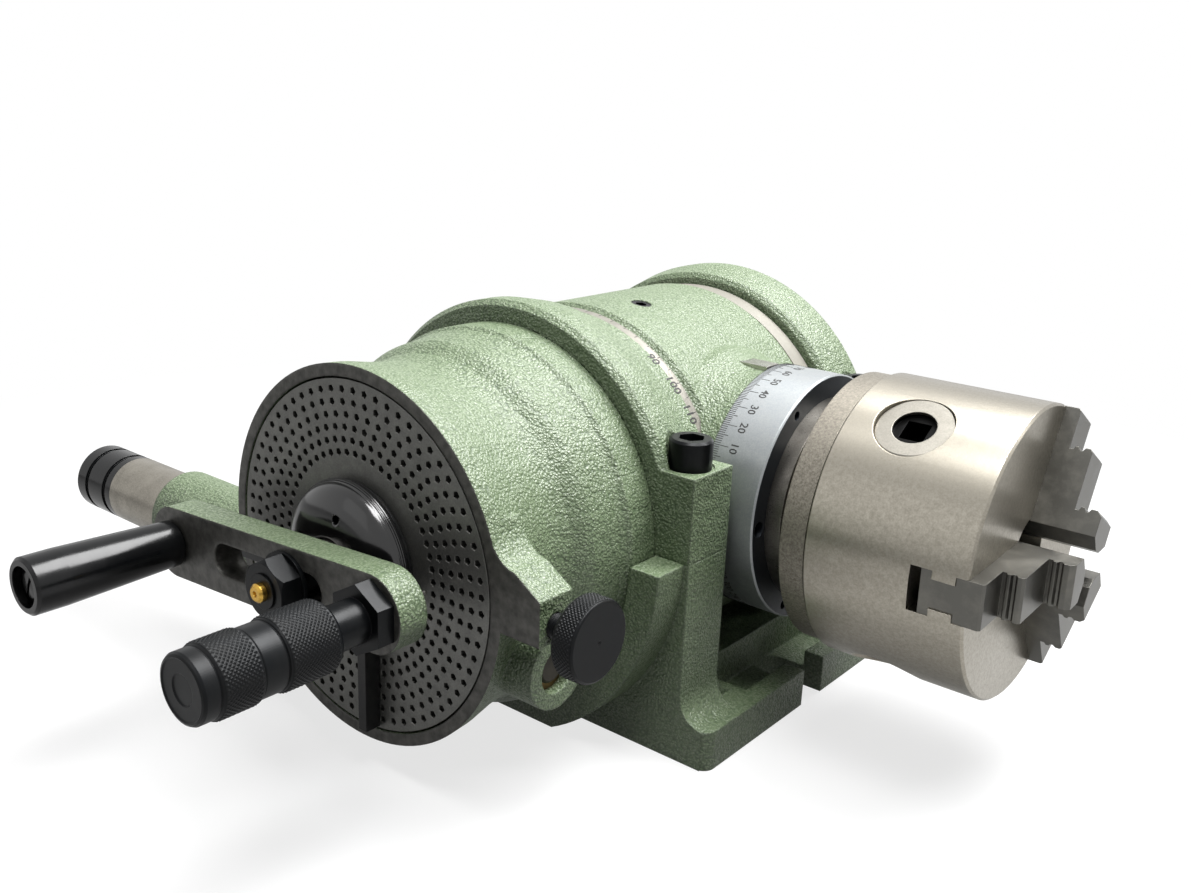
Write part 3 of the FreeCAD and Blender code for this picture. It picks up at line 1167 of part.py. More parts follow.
def chuck_jaw(index):
    """A stepped jaw with a T-shaped foot and a wedge tip."""
    face = CHUCK_FACE
    half = JAW_WIDTH / 2
    step_one, step_two = JAW_STEP_RADII
    low, middle, high = JAW_STEP_HEIGHTS
    side = [(JAW_INNER, -JAW_NECK_TOP), (JAW_OUTER, -JAW_NECK_TOP), (JAW_OUTER, low - 1), (JAW_OUTER - 1, low)]
    side += jaw_riser(step_one, low, middle, 1)
    side += jaw_riser(step_two, middle, high, 2)
    side.append((JAW_INNER, high))
    corners = [FreeCAD.Vector(face + x, radius, SPINDLE_HEIGHT - half) for radius, x in side]
    jaw = prism(corners, Z * JAW_WIDTH)
    neck = JAW_NECK_WIDTH / 2
    jaw = jaw.fuse(block(face - JAW_FLANGE_BOTTOM, face - JAW_NECK_TOP, JAW_INNER, JAW_OUTER,
                         SPINDLE_HEIGHT - neck, SPINDLE_HEIGHT + neck))
    jaw = jaw.fuse(block(face - JAW_FLANGE_BOTTOM, face - JAW_FLANGE_TOP, JAW_INNER, JAW_OUTER,
                         SPINDLE_HEIGHT - half, SPINDLE_HEIGHT + half))
    jaw = jaw.common(jaw_plan())
    teeth = []
    for tooth in range(JAW_TEETH):
        start = SCROLL_RADIUS - SCROLL_RIDGE_WIDTH - 2.8 - tooth * SCROLL_PITCH
        teeth.append(block(face - JAW_FLANGE_BOTTOM - JAW_TOOTH_HEIGHT, face - JAW_FLANGE_BOTTOM + 0.5,
                           start, start + 2.2, SPINDLE_HEIGHT - neck, SPINDLE_HEIGHT + neck))
    for tooth in teeth:
        jaw = jaw.fuse(tooth)
    return on_chuck(jaw.removeSplitter(), index)


def jaw_riser(radius, low, high, chamfer):
    """One step of the jaw: a relief in the corner, a gripping ridge and a second groove."""
    deep = radius - JAW_GROOVE
    return [(deep, low), (deep, low + 1.6), (radius, low + 2.2), (radius, low + 3.4), (deep, low + 4.3),
            (deep, low + 5.3), (radius, low + 6.2), (radius, high - chamfer), (radius - chamfer, high)]


def jaw_plan():
    """The outline of a jaw seen along the spindle, with the wedge that lets three tips meet."""
    half = JAW_WIDTH / 2
    wedge = JAW_INNER + (half - JAW_TIP_HALF) / math.tan(math.radians(60))
    outline = [(JAW_INNER, -JAW_TIP_HALF), (wedge, -half), (JAW_OUTER, -half), (JAW_OUTER, half)]
    outline += [(wedge, half), (JAW_INNER, JAW_TIP_HALF)]
    start = CHUCK_FACE - JAW_FLANGE_BOTTOM - 5
    corners = [FreeCAD.Vector(start, radius, SPINDLE_HEIGHT + side) for radius, side in outline]
    return prism(corners, X * 80)


def sub_parts():
    """Every node of the assembly with the function that makes it."""
    parts = {
        "base_casting": base_casting,
        "near_clamp_strap": lambda: clamp_strap(-1),
        "far_clamp_strap": lambda: clamp_strap(1),
        "strap_screws": strap_screws,
        "swivel_block": swivel_block,
        "filler_plug": filler_plug,
        "near_tilt_scale": lambda: tilt_scale(-1),
        "far_tilt_scale": lambda: tilt_scale(1),
        "far_cover": far_cover,
        "far_cover_screws": far_cover_screws,
        "front_bush": front_bush,
        "rear_bush": rear_bush,
        "worm_bushes": worm_bushes,
        "zero_mark_pad": zero_mark_pad,
        "spindle": spindle,
        "spindle_nut": spindle_nut,
        "worm_wheel": worm_wheel,
        "worm_shaft": worm_shaft,
        "worm_gear": worm_gear,
        "graduated_ring": graduated_ring,
        "index_housing": index_housing,
        "lock_screw": lock_screw,
        "side_sleeve": side_sleeve,
        "side_cap": side_cap,
        "side_shaft": side_shaft,
        "side_bush": side_bush,
        "index_plate": index_plate,
        "plate_carrier": plate_carrier,
        "sector_arm_lower": sector_arm_lower,
        "sector_arm_rear": sector_arm_rear,
        "sector_hub": sector_hub,
        "crank_shaft": crank_shaft,
        "crank_gear": crank_gear,
        "arm_spacer": arm_spacer,
        "crank_arm": crank_arm,
        "crank_washer": crank_washer,
        "crank_nut": crank_nut,
        "grease_nipple": grease_nipple,
        "plunger_housing": plunger_housing,
        "plunger_knob": plunger_knob,
        "plunger_pin": plunger_pin,
        "handle_pin": handle_pin,
        "handle_grip": handle_grip,
        "chuck_back_plate": chuck_back_plate_drilled,
        "chuck_body": chuck_body,
        "chuck_screws": chuck_screws,
        "chuck_rear_cover": chuck_rear_cover,
        "scroll_plate": scroll_plate,
    }
    for index in range(JAW_COUNT):
        parts["chuck_jaw_%d" % (index + 1)] = lambda place=index: chuck_jaw(place)
        parts["chuck_pinion_%d" % (index + 1)] = lambda place=index: chuck_pinion(place)
    return parts


def main():
    """Build each sub-part and write it to its own file."""
    os.makedirs("parts", exist_ok=True)
    for name, make in sub_parts().items():
        shape = make()
        shape.exportStep("parts/" + name + ".step")
        print("%-18s solids %d valid %s volume %.0f" % (name, len(shape.Solids), shape.isValid(), shape.Volume))


main()
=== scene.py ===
"""Looks of a universal dividing head with a three-jaw chuck.

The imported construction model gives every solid. This script dresses those solids
with procedural finishes, adds the engraved scales, the knurled grips and the
thread, and sets up the studio and the camera.
"""

from __future__ import annotations

import logging
import math
from abc import ABC, abstractmethod
from dataclasses import dataclass, field
from enum import Enum
from typing import Iterable, Optional, Sequence

import bmesh
import bpy
from bmesh.types import BMesh
from bpy.types import Material, Node, NodeSocket, NodeTree, Object
from mathutils import Matrix, Vector

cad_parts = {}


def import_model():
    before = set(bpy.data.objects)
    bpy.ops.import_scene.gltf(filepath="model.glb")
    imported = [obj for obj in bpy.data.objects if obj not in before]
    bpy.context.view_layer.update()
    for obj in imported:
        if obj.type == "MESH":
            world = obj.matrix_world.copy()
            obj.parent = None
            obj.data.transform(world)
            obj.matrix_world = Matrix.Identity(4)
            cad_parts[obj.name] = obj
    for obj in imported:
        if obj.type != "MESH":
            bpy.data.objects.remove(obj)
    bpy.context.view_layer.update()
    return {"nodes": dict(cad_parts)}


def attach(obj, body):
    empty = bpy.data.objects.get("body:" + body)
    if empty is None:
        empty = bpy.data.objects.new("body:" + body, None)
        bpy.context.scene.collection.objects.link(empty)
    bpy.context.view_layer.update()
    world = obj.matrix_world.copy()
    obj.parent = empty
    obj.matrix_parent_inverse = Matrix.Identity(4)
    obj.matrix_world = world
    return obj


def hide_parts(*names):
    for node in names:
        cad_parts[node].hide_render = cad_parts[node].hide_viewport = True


LOG = logging.getLogger("dividing_head")
MM = 0.001

TILT_AXIS = Vector((0.0, 0.0, 90.0))
SPINDLE_AXIS = Vector((0.0, 0.0, 100.0))

# Socket numbers of the Mix node when it blends colours
MIX_A, MIX_B, MIX_RESULT = 6, 7, 2
# Rays that the Bevel node sends for each shaded point
BEVEL_SAMPLES = 4
# A radius that closes an outline on its axis
ON_AXIS = 0.01


class Axis(Enum):
    """A direction of the row frame that a turned piece is spun about."""

    X = Vector((1.0, 0.0, 0.0))
    Y = Vector((0.0, 1.0, 0.0))

    @property
    def radial(self) -> Vector:
        """The direction that angles are counted from."""
        return Vector((0.0, 1.0, 0.0)) if self is Axis.X else Vector((1.0, 0.0, 0.0))

    @property
    def across(self) -> Vector:
        """The direction at ninety degrees, always up."""
        return Vector((0.0, 0.0, 1.0))


def linear(code: str) -> tuple[float, float, float, float]:
    """Turn an sRGB hex colour into linear values.

    Args:
        code: six hex digits with a leading hash.

    Returns:
        Red, green, blue and an alpha of one.
    """
    values = [int(code[place:place + 2], 16) / 255 for place in (1, 3, 5)]
    parts = [v / 12.92 if v <= 0.04045 else ((v + 0.055) / 1.055) ** 2.4 for v in values]
    return parts[0], parts[1], parts[2], 1.0


def add_node(tree: NodeTree, kind: str, inputs: Optional[dict] = None,
             stops: Sequence[tuple[float, str]] = (), **settings: object) -> Node:
    """Add one node with its settings, constants and links.

    Args:
        tree: the node tree it goes in.
        kind: the node's type name, after its first word ShaderNode.
        inputs: socket name or number, with a constant or an output socket to link.
        stops: position and hex colour of each stop, for a node with a ramp.
        settings: the node's own properties.

    Returns:
        The new node.
    """
    node = tree.nodes.new("ShaderNode" + kind)
    for name, value in settings.items():
        setattr(node, name, value)
    for socket, value in (inputs or {}).items():
        if isinstance(value, NodeSocket):
            tree.links.new(value, node.inputs[socket])
        else:
            node.inputs[socket].default_value = value
    for place, (position, code) in enumerate(stops):
        elements = node.color_ramp.elements
        element = elements[place] if place < 2 else elements.new(position)
        element.position = position
        element.color = linear(code)
    return node


def maths(tree: NodeTree, operation: str, *values: object) -> NodeSocket:
    """Add a Math node.

    Args:
        tree: the node tree it goes in.
        operation: what it works out.
        values: the constants and output sockets it works on.

    Returns:
        Its result.
    """
    return add_node(tree, "Math", dict(enumerate(values)), operation=operation).outputs[0]


def vector_maths(tree: NodeTree, operation: str, *values: object) -> NodeSocket:
    """Add a Vector Math node, with the same arguments as a Math node.

    Returns:
        A number for a length or a dot product, and a vector otherwise.
    """
    node = add_node(tree, "VectorMath", dict(enumerate(values)), operation=operation)
    return node.outputs["Value" if operation in ("DOT_PRODUCT", "LENGTH") else "Vector"]


def mix(tree: NodeTree, share: NodeSocket, first: object, second: object) -> NodeSocket:
    """Blend two colours, each a constant or a socket, by the share of the second one."""
    blend = add_node(tree, "Mix", {0: share, MIX_A: first, MIX_B: second}, data_type="RGBA")
    return blend.outputs[MIX_RESULT]


def remap(tree: NodeTree, value: NodeSocket, source: Sequence[float], target: Sequence[float]) -> NodeSocket:
    """Stretch the source range of a value into the target range, cut off at both ends."""
    ends = {"From Min": source[0], "From Max": source[1], "To Min": target[0], "To Max": target[1]}
    return add_node(tree, "MapRange", {"Value": value, **ends}).outputs[0]


def noise(tree: NodeTree, spot: NodeSocket, scale: float, detail: float, roughness: float = 0.5,
          output: str = "Fac") -> NodeSocket:
    """Read one output of a noise pattern with the given settings at a spot."""
    settings = {"Vector": spot, "Scale": scale, "Detail": detail, "Roughness": roughness}
    return add_node(tree, "TexNoise", settings).outputs[output]


def new_tree(name: str) -> tuple[Material, NodeTree]:
    """Start an empty node material.

    Args:
        name: the material's name.

    Returns:
        The material and its tree, with no node in it.
    """
    material = bpy.data.materials.new(name)
    material.use_nodes = True
    material.node_tree.nodes.clear()
    return material, material.node_tree


class Place(ABC):
    """A part of a solid's skin that is finished in another way."""

    @abstractmethod
    def mask(self, tree: NodeTree, where: Node) -> NodeSocket:
        """Find the place.

        Args:
            tree: the node tree that the mask goes in.
            where: its Texture Coordinate node.

        Returns:
            A value that is one in the place and zero elsewhere.
        """


@dataclass(frozen=True)
class MachinedFace(Place):
    """A flat that is cut bare after painting, found by its direction and its place.

    Attributes:
        normal: which way the flat looks, in the row frame.
        beyond: how far along that direction it lies at least, in millimetres.
        likeness: how well a normal must agree with the direction.
    """

    normal: tuple[float, float, float]
    beyond: float
    likeness: float = 0.9

    def mask(self, tree: NodeTree, where: Node) -> NodeSocket:
        """One on the flat and zero elsewhere."""
        looks = vector_maths(tree, "DOT_PRODUCT", where.outputs["Normal"], self.normal)
        lies = vector_maths(tree, "DOT_PRODUCT", where.outputs["Object"], self.normal)
        return maths(tree, "MULTIPLY", maths(tree, "GREATER_THAN", looks, self.likeness),
                     maths(tree, "GREATER_THAN", lies, self.beyond * MM))


@dataclass(frozen=True)
class InsideBox(Place):
    """Everything inside a box, such as the walls of a slot that is milled after painting.

    Attributes:
        low: the box's lowest corner, in millimetres.
        high: its highest corner.
    """

    low: tuple[float, float, float]
    high: tuple[float, float, float]

    def mask(self, tree: NodeTree, where: Node) -> NodeSocket:
        """One inside the box and zero elsewhere."""
        middle = tuple((a + b) / 2 * MM for a, b in zip(self.low, self.high))
        size = tuple(2 / ((b - a) * MM) for a, b in zip(self.low, self.high))
        away = vector_maths(tree, "SUBTRACT", where.outputs["Object"], middle)
        span = vector_maths(tree, "ABSOLUTE", vector_maths(tree, "MULTIPLY", away, size))
        split = add_node(tree, "SeparateXYZ", {0: span}).outputs
        reach = maths(tree, "MAXIMUM", maths(tree, "MAXIMUM", split[0], split[1]), split[2])
        return maths(tree, "LESS_THAN", reach, 1.0)


@dataclass(frozen=True)
class DeepOf(Place):
    """Everything nearer to the spindle axis than the outer skin of a turned piece."""

    radius: float

    def mask(self, tree: NodeTree, where: Node) -> NodeSocket:
        """One inside the radius and zero on the skin."""
        away = vector_maths(tree, "SUBTRACT", where.outputs["Object"], SPINDLE_AXIS * MM)
        reach = vector_maths(tree, "LENGTH", vector_maths(tree, "MULTIPLY", away, (0.0, 1.0, 1.0)))
        return maths(tree, "LESS_THAN", reach, self.radius * MM)


class Finish(ABC):
    """A real surface finish that can be built as a material.

    Attributes:
        edge_mm: how far its sharp edges look rounded.
        relief_mm: height of its pattern.
    """

    name: str
    edge_mm: float
    relief_mm: float

    def build(self) -> Material:
        """Make the material."""
        material, tree = new_tree(self.name)
        shader = add_node(tree, "BsdfPrincipled", self.inputs(tree, add_node(tree, "TexCoord")))
        add_node(tree, "OutputMaterial", {"Surface": shader.outputs[0]})
        return material

    @abstractmethod
    def inputs(self, tree: NodeTree, where: Node) -> dict:
        """Lay out the finish.

        Args:
            tree: the node tree.
            where: its Texture Coordinate node.

        Returns:
            What goes into each socket of the Principled shader.
        """

    def raised(self, tree: NodeTree, height: NodeSocket, strength: object, invert: bool = False) -> NodeSocket:
        """Round the sharp edges and raise the pattern.

        Args:
            tree: the node tree.
            height: the pattern.
            strength: share of its height that shows.
            invert: whether high values lie deep.

        Returns:
            The normal.
        """
        soft_edge = add_node(tree, "Bevel", {"Radius": self.edge_mm * MM}, samples=BEVEL_SAMPLES)
        bump = add_node(tree, "Bump", {"Strength": strength, "Distance": self.relief_mm * MM, "Height": height,
                                       "Normal": soft_edge.outputs[0]}, invert=invert)
        return bump.outputs[0]


# Each finish of a group, with the solids that wear it
Wears = tuple[tuple[Finish, tuple[str, ...]], ...]


@dataclass(frozen=True)
class HammeredPaint(Finish):
    """Green hammered enamel sprayed on a sand casting.

    The solvent pulls the enamel into cells about a millimetre wide, with a painted
    highlight pale in their middle and painted shade dark in the creases between
    them, under a glossy skin that glitters where it faces a lamp. The casting stays
    faintly lumpy below it. Places that are machined after painting show bare metal.

    Attributes:
        crease_shade: painted shade in the creases between the cells.
        body: colour of most of the enamel.
        crest_highlight: painted highlight in the middle of a cell.
        bend_mm: how far the cells are pushed out of shape.
        relief_mm: height of the pattern.
        sheen: how strongly the enamel mirrors, a half being the usual amount.
        bare_relief: share of the pattern's height that is left on bare metal.
    """

    name: str
    machined: tuple[Place, ...] = ()
    # Painted shade in the creases and painted highlight on the crests of the cells
    crease_shade: str = "#3d4d34"
    body: str = "#5c6b4f"
    crest_highlight: str = "#7c8870"
    bare_dark: str = "#383734"
    bare_light: str = "#5a5955"
    cell_mm: float = 1.1
    bend_mm: float = 1.6
    relief_mm: float = 0.42
    edge_mm: float = 1.6
    sheen: float = 0.65
    sand_scale: float = 90.0
    lump_scale: float = 16.0
    scratch_scale: float = 260.0
    bare_rough: float = 0.45
    bare_metallic: float = 0.6
    bare_relief: float = 0.12

    def inputs(self, tree: NodeTree, where: Node) -> dict:
        """Spray the enamel and cut the bare places."""
        colour, rough, height = self._enamel(tree, where.outputs["Object"])
        strength, metal = 1.0, 0.0
        if self.machined:
            mask = self._bare_mask(tree, where)
            scratches = noise(tree, where.outputs["Object"], self.scratch_scale, 4.0)
            bare = add_node(tree, "ValToRGB", {"Fac": scratches}, ((0.3, self.bare_dark), (0.7, self.bare_light)))
            colour = mix(tree, mask, colour, bare.outputs["Color"])
            rough = maths(tree, "MAXIMUM", rough, maths(tree, "MULTIPLY", mask, self.bare_rough))
            strength = remap(tree, mask, (0.0, 1.0), (1.0, self.bare_relief))
            metal = maths(tree, "MULTIPLY", mask, self.bare_metallic)
        return {"Base Color": colour, "Roughness": rough, "Metallic": metal, "IOR": 1.5,
                "Specular IOR Level": self.sheen, "Normal": self.raised(tree, height, strength, invert=True)}

    def _enamel(self, tree: NodeTree, spot: NodeSocket) -> tuple[NodeSocket, ...]:
        """Lay out the cells of the enamel.

        Args:
            tree: the node tree.
            spot: the place on the solid.

        Returns:
            Colour, roughness and height.
        """
        drift = noise(tree, spot, 0.6 / (self.cell_mm * MM), 3.0, output="Color")
        push = self.bend_mm * MM
        bent = vector_maths(tree, "MULTIPLY_ADD", drift, (push, push, push), spot)
        cells = add_node(tree, "TexVoronoi", {"Vector": bent, "Scale": 1 / (self.cell_mm * MM)})
        from_middle = cells.outputs["Distance"]
        # Painted highlight in the middle of each cell and painted shade in the creases, where the bump lies deep
        shade = add_node(tree, "ValToRGB", {"Fac": from_middle},
                         ((0.15, self.crest_highlight), (0.85, self.crease_shade), (0.5, self.body)))
        uneven = remap(tree, noise(tree, spot, self.lump_scale, 2.0), (0.35, 0.7), (0.0, 0.5))
        colour = mix(tree, uneven, shade.outputs["Color"], linear(self.body))
        rough = remap(tree, from_middle, (0.1, 0.8), (0.32, 0.5))
        sand = noise(tree, spot, self.sand_scale, 3.0, 0.6)
        height = maths(tree, "ADD", from_middle, maths(tree, "MULTIPLY", sand, 3.0))
        return colour, rough, height

    def _bare_mask(self, tree: NodeTree, where: Node) -> NodeSocket:
        """Join the masks of all bare places.

        Args:
            tree: the node tree.
            where: its Texture Coordinate node.

        Returns:
            One on bare metal and zero on enamel.
        """
        mask = self.machined[0].mask(tree, where)
        for place in self.machined[1:]:
            mask = maths(tree, "MAXIMUM", mask, place.mask(tree, where))
        return mask


@dataclass(frozen=True)
class TurnedSteel(Finish):
    """Steel turned or ground on a lathe, with fine rings about its own axis.

    The rings stretch each highlight into a band along the piece, and handling
    leaves it slightly mottled. One place may be painted dark, as the chuck's dark
    joint line, the dial's dark front and the painted shade in each pinion's socket.
    """

    name: str
    light: str
    dark: str
    roughness: float
    axis: Axis = Axis.X
    ring_mm: float = 0.5
    ring_strength: float = 0.1
    mottle_mm: float = 6.0
    grain_mm: float = 0.7
    anisotropy: float = 0.6
    metallic: float = 1.0
    # Place painted dark: a dark joint line, a dark front, or painted shade in a recess such as the pinion's socket
    oxide: Optional[Place] = None
    dark_and_shade_colour: str = "#2b2f33"
    edge_mm: float = 0.5
    relief_mm: float = 0.1

    def inputs(self, tree: NodeTree, where: Node) -> dict:
        """Cut the rings and leave the place of the oxide dark."""
        spot = where.outputs["Object"]
        along, around = 1 / (self.ring_mm * MM), 4.0
        scale = (along, around, around) if self.axis is Axis.X else (around, along, around)
        lines = add_node(tree, "Mapping", {"Vector": spot, "Scale": scale})
        grooves = noise(tree, lines.outputs[0], 1.0, 2.0)
        mottle = noise(tree, spot, 1 / (self.mottle_mm * MM), 4.0, 0.6)
        grain = noise(tree, spot, 1 / (self.grain_mm * MM), 1.0)
        tone = add_node(tree, "Mix", {0: 0.4, 2: mottle, 3: grain}).outputs[0]
        colour = add_node(tree, "ValToRGB", {"Fac": tone}, ((0.36, self.dark), (0.64, self.light))).outputs["Color"]
        # Paint the dark place; in the pinion's socket this is painted shade
        if self.oxide is not None:
            colour = mix(tree, self.oxide.mask(tree, where), colour, linear(self.dark_and_shade_colour))
        inputs = {"Base Color": colour, "Metallic": self.metallic,
                  "Roughness": remap(tree, tone, (0.35, 0.65), (self.roughness + 0.05, self.roughness - 0.04)),
                  "Normal": self.raised(tree, maths(tree, "ADD", grooves, grain), self.ring_strength)}
        if self.anisotropy:
            round_axis = add_node(tree, "Tangent", direction_type="RADIAL", axis=self.axis.name)
            inputs.update({"Tangent": round_axis.outputs[0], "Anisotropic": self.anisotropy,
                           "Anisotropic Rotation": 0.25})
        return inputs


@dataclass(frozen=True)
class SmoothFinish(Finish):
    """A plain even finish with faint handling marks, such as oxide, enamel or moulded plastic."""

    name: str
    colour: str
    worn: str
    roughness: float
    metallic: float = 0.0
    grain_mm: float = 1.2
    bump: float = 0.05
    edge_mm: float = 0.4
    coat: float = 0.0
    specular: float = 0.5
    wear_scale: float = 70.0
    relief_mm: float = 0.2

    def inputs(self, tree: NodeTree, where: Node) -> dict:
        """Spread the finish and wear it a little."""
        grain = noise(tree, where.outputs["Object"], 1 / (self.grain_mm * MM), 4.0)
        wear = noise(tree, where.outputs["Object"], self.wear_scale, 5.0, 0.7)
        colour = add_node(tree, "ValToRGB", {"Fac": wear}, ((0.45, self.colour), (0.8, self.worn)))
        return {"Base Color": colour.outputs["Color"], "Metallic": self.metallic, "Coat Weight": self.coat,
                "Roughness": remap(tree, wear, (0.3, 0.75), (self.roughness - 0.04, self.roughness + 0.1)),
                "Specular IOR Level": self.specular, "Normal": self.raised(tree, grain, self.bump)}


@dataclass
class Palette:
    """Every finish of the head, built once each."""

    made: dict[str, Material] = field(default_factory=dict)

    def material(self, finish: Finish) -> Material:
        """Build a finish once and hand it out again.

        Args:
            finish: the finish.

        Returns:
            Its material.
        """
        if finish.name not in self.made:
            self.made[finish.name] = finish.build()
        return self.made[finish.name]

    def dress(self, nodes: dict[str, Object], finish: Finish, names: Iterable[str]) -> None:
        """Give solids of the construction model their finish.

        Args:
            nodes: the solids by name.
            finish: the finish they wear.
            names: which solids wear it.
        """
        for name in names:
            node = nodes[name]
            node.data.materials.clear()
            node.data.materials.append(self.material(finish))
            LOG.info("dressed %s in %s", name, finish.name)


# Sprayed enamel: a grey green that glitters on its crests, with painted highlights on the crests and painted shade
# in the creases
PAINT = HammeredPaint("hammered_enamel")
# The same on the housing, whose front rim is turned bare and dark
HOUSING_PAINT = HammeredPaint("hammered_enamel_bare_rim", (MachinedFace((0.0, -1.0, 0.0), 176.0),))
# The same on the crank arm, milled bare on both sides and in its slot
ARM_PAINT = HammeredPaint("hammered_enamel_bare_sides", (
    MachinedFace((0.0, -1.0, 0.0), 200.0), MachinedFace((0.0, 1.0, 0.0), -199.0),
    InsideBox((-60.0, -212.0, 78.5), (40.0, -197.0, 101.5))))
# The near tilt band: enamel runs over its strap side, so only a narrow pale strip is bare
NEAR_BAND = HammeredPaint("hammered_enamel_bare_band", (InsideBox((-100.0, -47.0, -20.0), (100.0, -30.0, 200.0)),),
                          bare_dark="#75726b", bare_light="#86837b")
# Cylindrically ground alloy steel: warm, with broad soft bands of light and one dark joint line
CHUCK_STEEL = TurnedSteel("ground_chuck_steel", "#a29d92", "#8f8a7f", 0.32, mottle_mm=1.8,
                          oxide=InsideBox((137.0, -90.0, 0.0), (138.5, 90.0, 200.0)), dark_and_shade_colour="#1c1b19")
# Adapter left as cast and machined: duller and grainy
ADAPTER_IRON = TurnedSteel("machined_adapter_iron", "#8c877d", "#67635b", 0.46, mottle_mm=1.2, anisotropy=0.2,
                           ring_strength=0.25)
# Satin chromed dial: cool and even, with its front and bore painted dark inside a radius of 55.9
DIAL_CHROME = TurnedSteel("satin_chrome_dial", "#979a9b", "#898d8f", 0.44, ring_strength=0.04, anisotropy=0.3,
                          metallic=0.75, oxide=DeepOf(55.9), dark_and_shade_colour="#202429")
# Satin key pinion: a plain grey disc, with painted shade inside its socket below the face
PINION_STEEL = TurnedSteel("satin_key_pinion", "#8b8880", "#77746d", 0.42, ring_strength=0.03, anisotropy=0.0,
                           oxide=DeepOf(59.8), dark_and_shade_colour="#121212")
# Spindle nose: darker turned steel that shows inside the dial
NOSE_STEEL = TurnedSteel("turned_spindle_nose", "#77746e", "#5f5c57", 0.3)
# Polished shafts and pins: bright, with sharp streaks
BRIGHT_STEEL = TurnedSteel("polished_shaft_steel", "#c9c7c2", "#aeaba4", 0.22)
# Ground sleeve: warm grey with large faint marks of handling
SLEEVE_STEEL = TurnedSteel("ground_sleeve_steel", "#9a958b", "#7d7970", 0.32, mottle_mm=12.0)
# Turned collars about the crank's axis: the brightest steel of the head
SPACER_STEEL = TurnedSteel("turned_collar_steel", "#cfcdc8", "#b4b1aa", 0.22, Axis.Y)
# Lapped plate: even dark grey with a faint sheen
PLATE_STEEL = TurnedSteel("lapped_index_plate", "#73736f", "#62625f", 0.42, Axis.Y, ring_strength=0.03,
                          anisotropy=0.0, metallic=0.7)
# Shaft end left black with oil
OILED_STEEL = SmoothFinish("oiled_shaft_end", "#33302b", "#4a463f", 0.4, 0.8)
# Satin band of the far tilt scale: pale and quiet
SCALE_BAND = SmoothFinish("satin_scale_band", "#86837b", "#75726b", 0.42, 0.35, bump=0.02)
# Hardened jaws: dark grey steel with a fine ground grain
JAW_STEEL = SmoothFinish("hardened_jaw_steel", "#5e5d59", "#74726c", 0.34, 1.0, grain_mm=0.6, bump=0.08)
# Black oxide on screws and nuts: deep black with a dull sheen on the edges
BLACK_OXIDE = SmoothFinish("black_oxide_steel", "#090b0d", "#141515", 0.3, 0.3, bump=0.05, specular=0.18)
# Black oxide on knurls: softer, so that the diamonds read as grey points
KNURL_OXIDE = SmoothFinish("black_oxide_knurl", "#0c0e10", "#171717", 0.38, 0.3, bump=0.04, specular=0.2)
# Moulded handle and cap: black gloss with a hard highlight
GLOSS_BLACK = SmoothFinish("moulded_gloss_black", "#08090a", "#101011", 0.18, 0.0, bump=0.01, specular=0.3)
# Enamelled dome: black under a thin clear coat
DOME_BLACK = SmoothFinish("enamelled_black_dome", "#0b0b0c", "#161616", 0.16, 0.0, bump=0.02, coat=0.3)
# Brass oiler: the one warm spark
BRASS = SmoothFinish("turned_brass", "#c9a24e", "#a88237", 0.25, 1.0)
# Bearing bronze: brown, seen only in gaps
BRONZE = SmoothFinish("bearing_bronze", "#6f5a3c", "#51412b", 0.35, 1.0)
# Ink in the engraving: matt black
INK = SmoothFinish("engraving_ink", "#1a1a1a", "#26251f", 0.6, 0.0)
# Blued sector arms: charcoal with a weak gleam
SECTOR_STEEL = SmoothFinish("blued_sector_steel", "#222223", "#373633", 0.38, 0.6)


def object_from(mesh: BMesh, name: str) -> Object:
    """Turn a finished bmesh into an object of the scene, and free it.

    Args:
        mesh: the shape.
        name: the object's name.

    Returns:
        The object.
    """
    data = bpy.data.meshes.new(name)
    mesh.to_mesh(data)
    mesh.free()
    made = bpy.data.objects.new(name, data)
    bpy.context.scene.collection.objects.link(made)
    return made


def piece_from(mesh: BMesh, name: str, material: Material, body: str, smooth: bool = False) -> Object:
    """Turn a finished bmesh into an object that rides on a body.

    Args:
        mesh: the shape in millimetres, in the row frame.
        name: the piece's name.
        material: its finish.
        body: the body of the construction model that it rides on.
        smooth: whether its faces are shaded smooth.

    Returns:
        The object, at the origin, unturned and unscaled.
    """
    bmesh.ops.scale(mesh, vec=(MM, MM, MM), verts=mesh.verts)
    for face in mesh.faces:
        face.smooth = smooth
    piece = object_from(mesh, name)
    piece.data.materials.append(material)
    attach(piece, body)
    LOG.info("built %s on %s with %d faces", name, body, len(piece.data.polygons))
    return piece


def spin_profile(mesh: BMesh, points: Sequence[tuple[float, float]], centre: Vector, axis: Axis, steps: int) -> None:
    """Turn an outline about an axis.

    Args:
        mesh: where the shape goes.
        points: distance along the axis and radius of each corner.
        centre: a point on the axis.
        axis: the axis.
        steps: faces round the turn.
    """
    corners = [mesh.verts.new(centre + axis.value * along + axis.radial * radius) for along, radius in points]
    edges = [mesh.edges.new(pair) for pair in zip(corners, corners[1:])]
    bmesh.ops.spin(mesh, geom=corners + edges, cent=centre, axis=axis.value, angle=2 * math.pi, steps=steps,
                   use_merge=True)
    bmesh.ops.remove_doubles(mesh, verts=mesh.verts, dist=0.0005)
    bmesh.ops.recalc_face_normals(mesh, faces=mesh.faces)


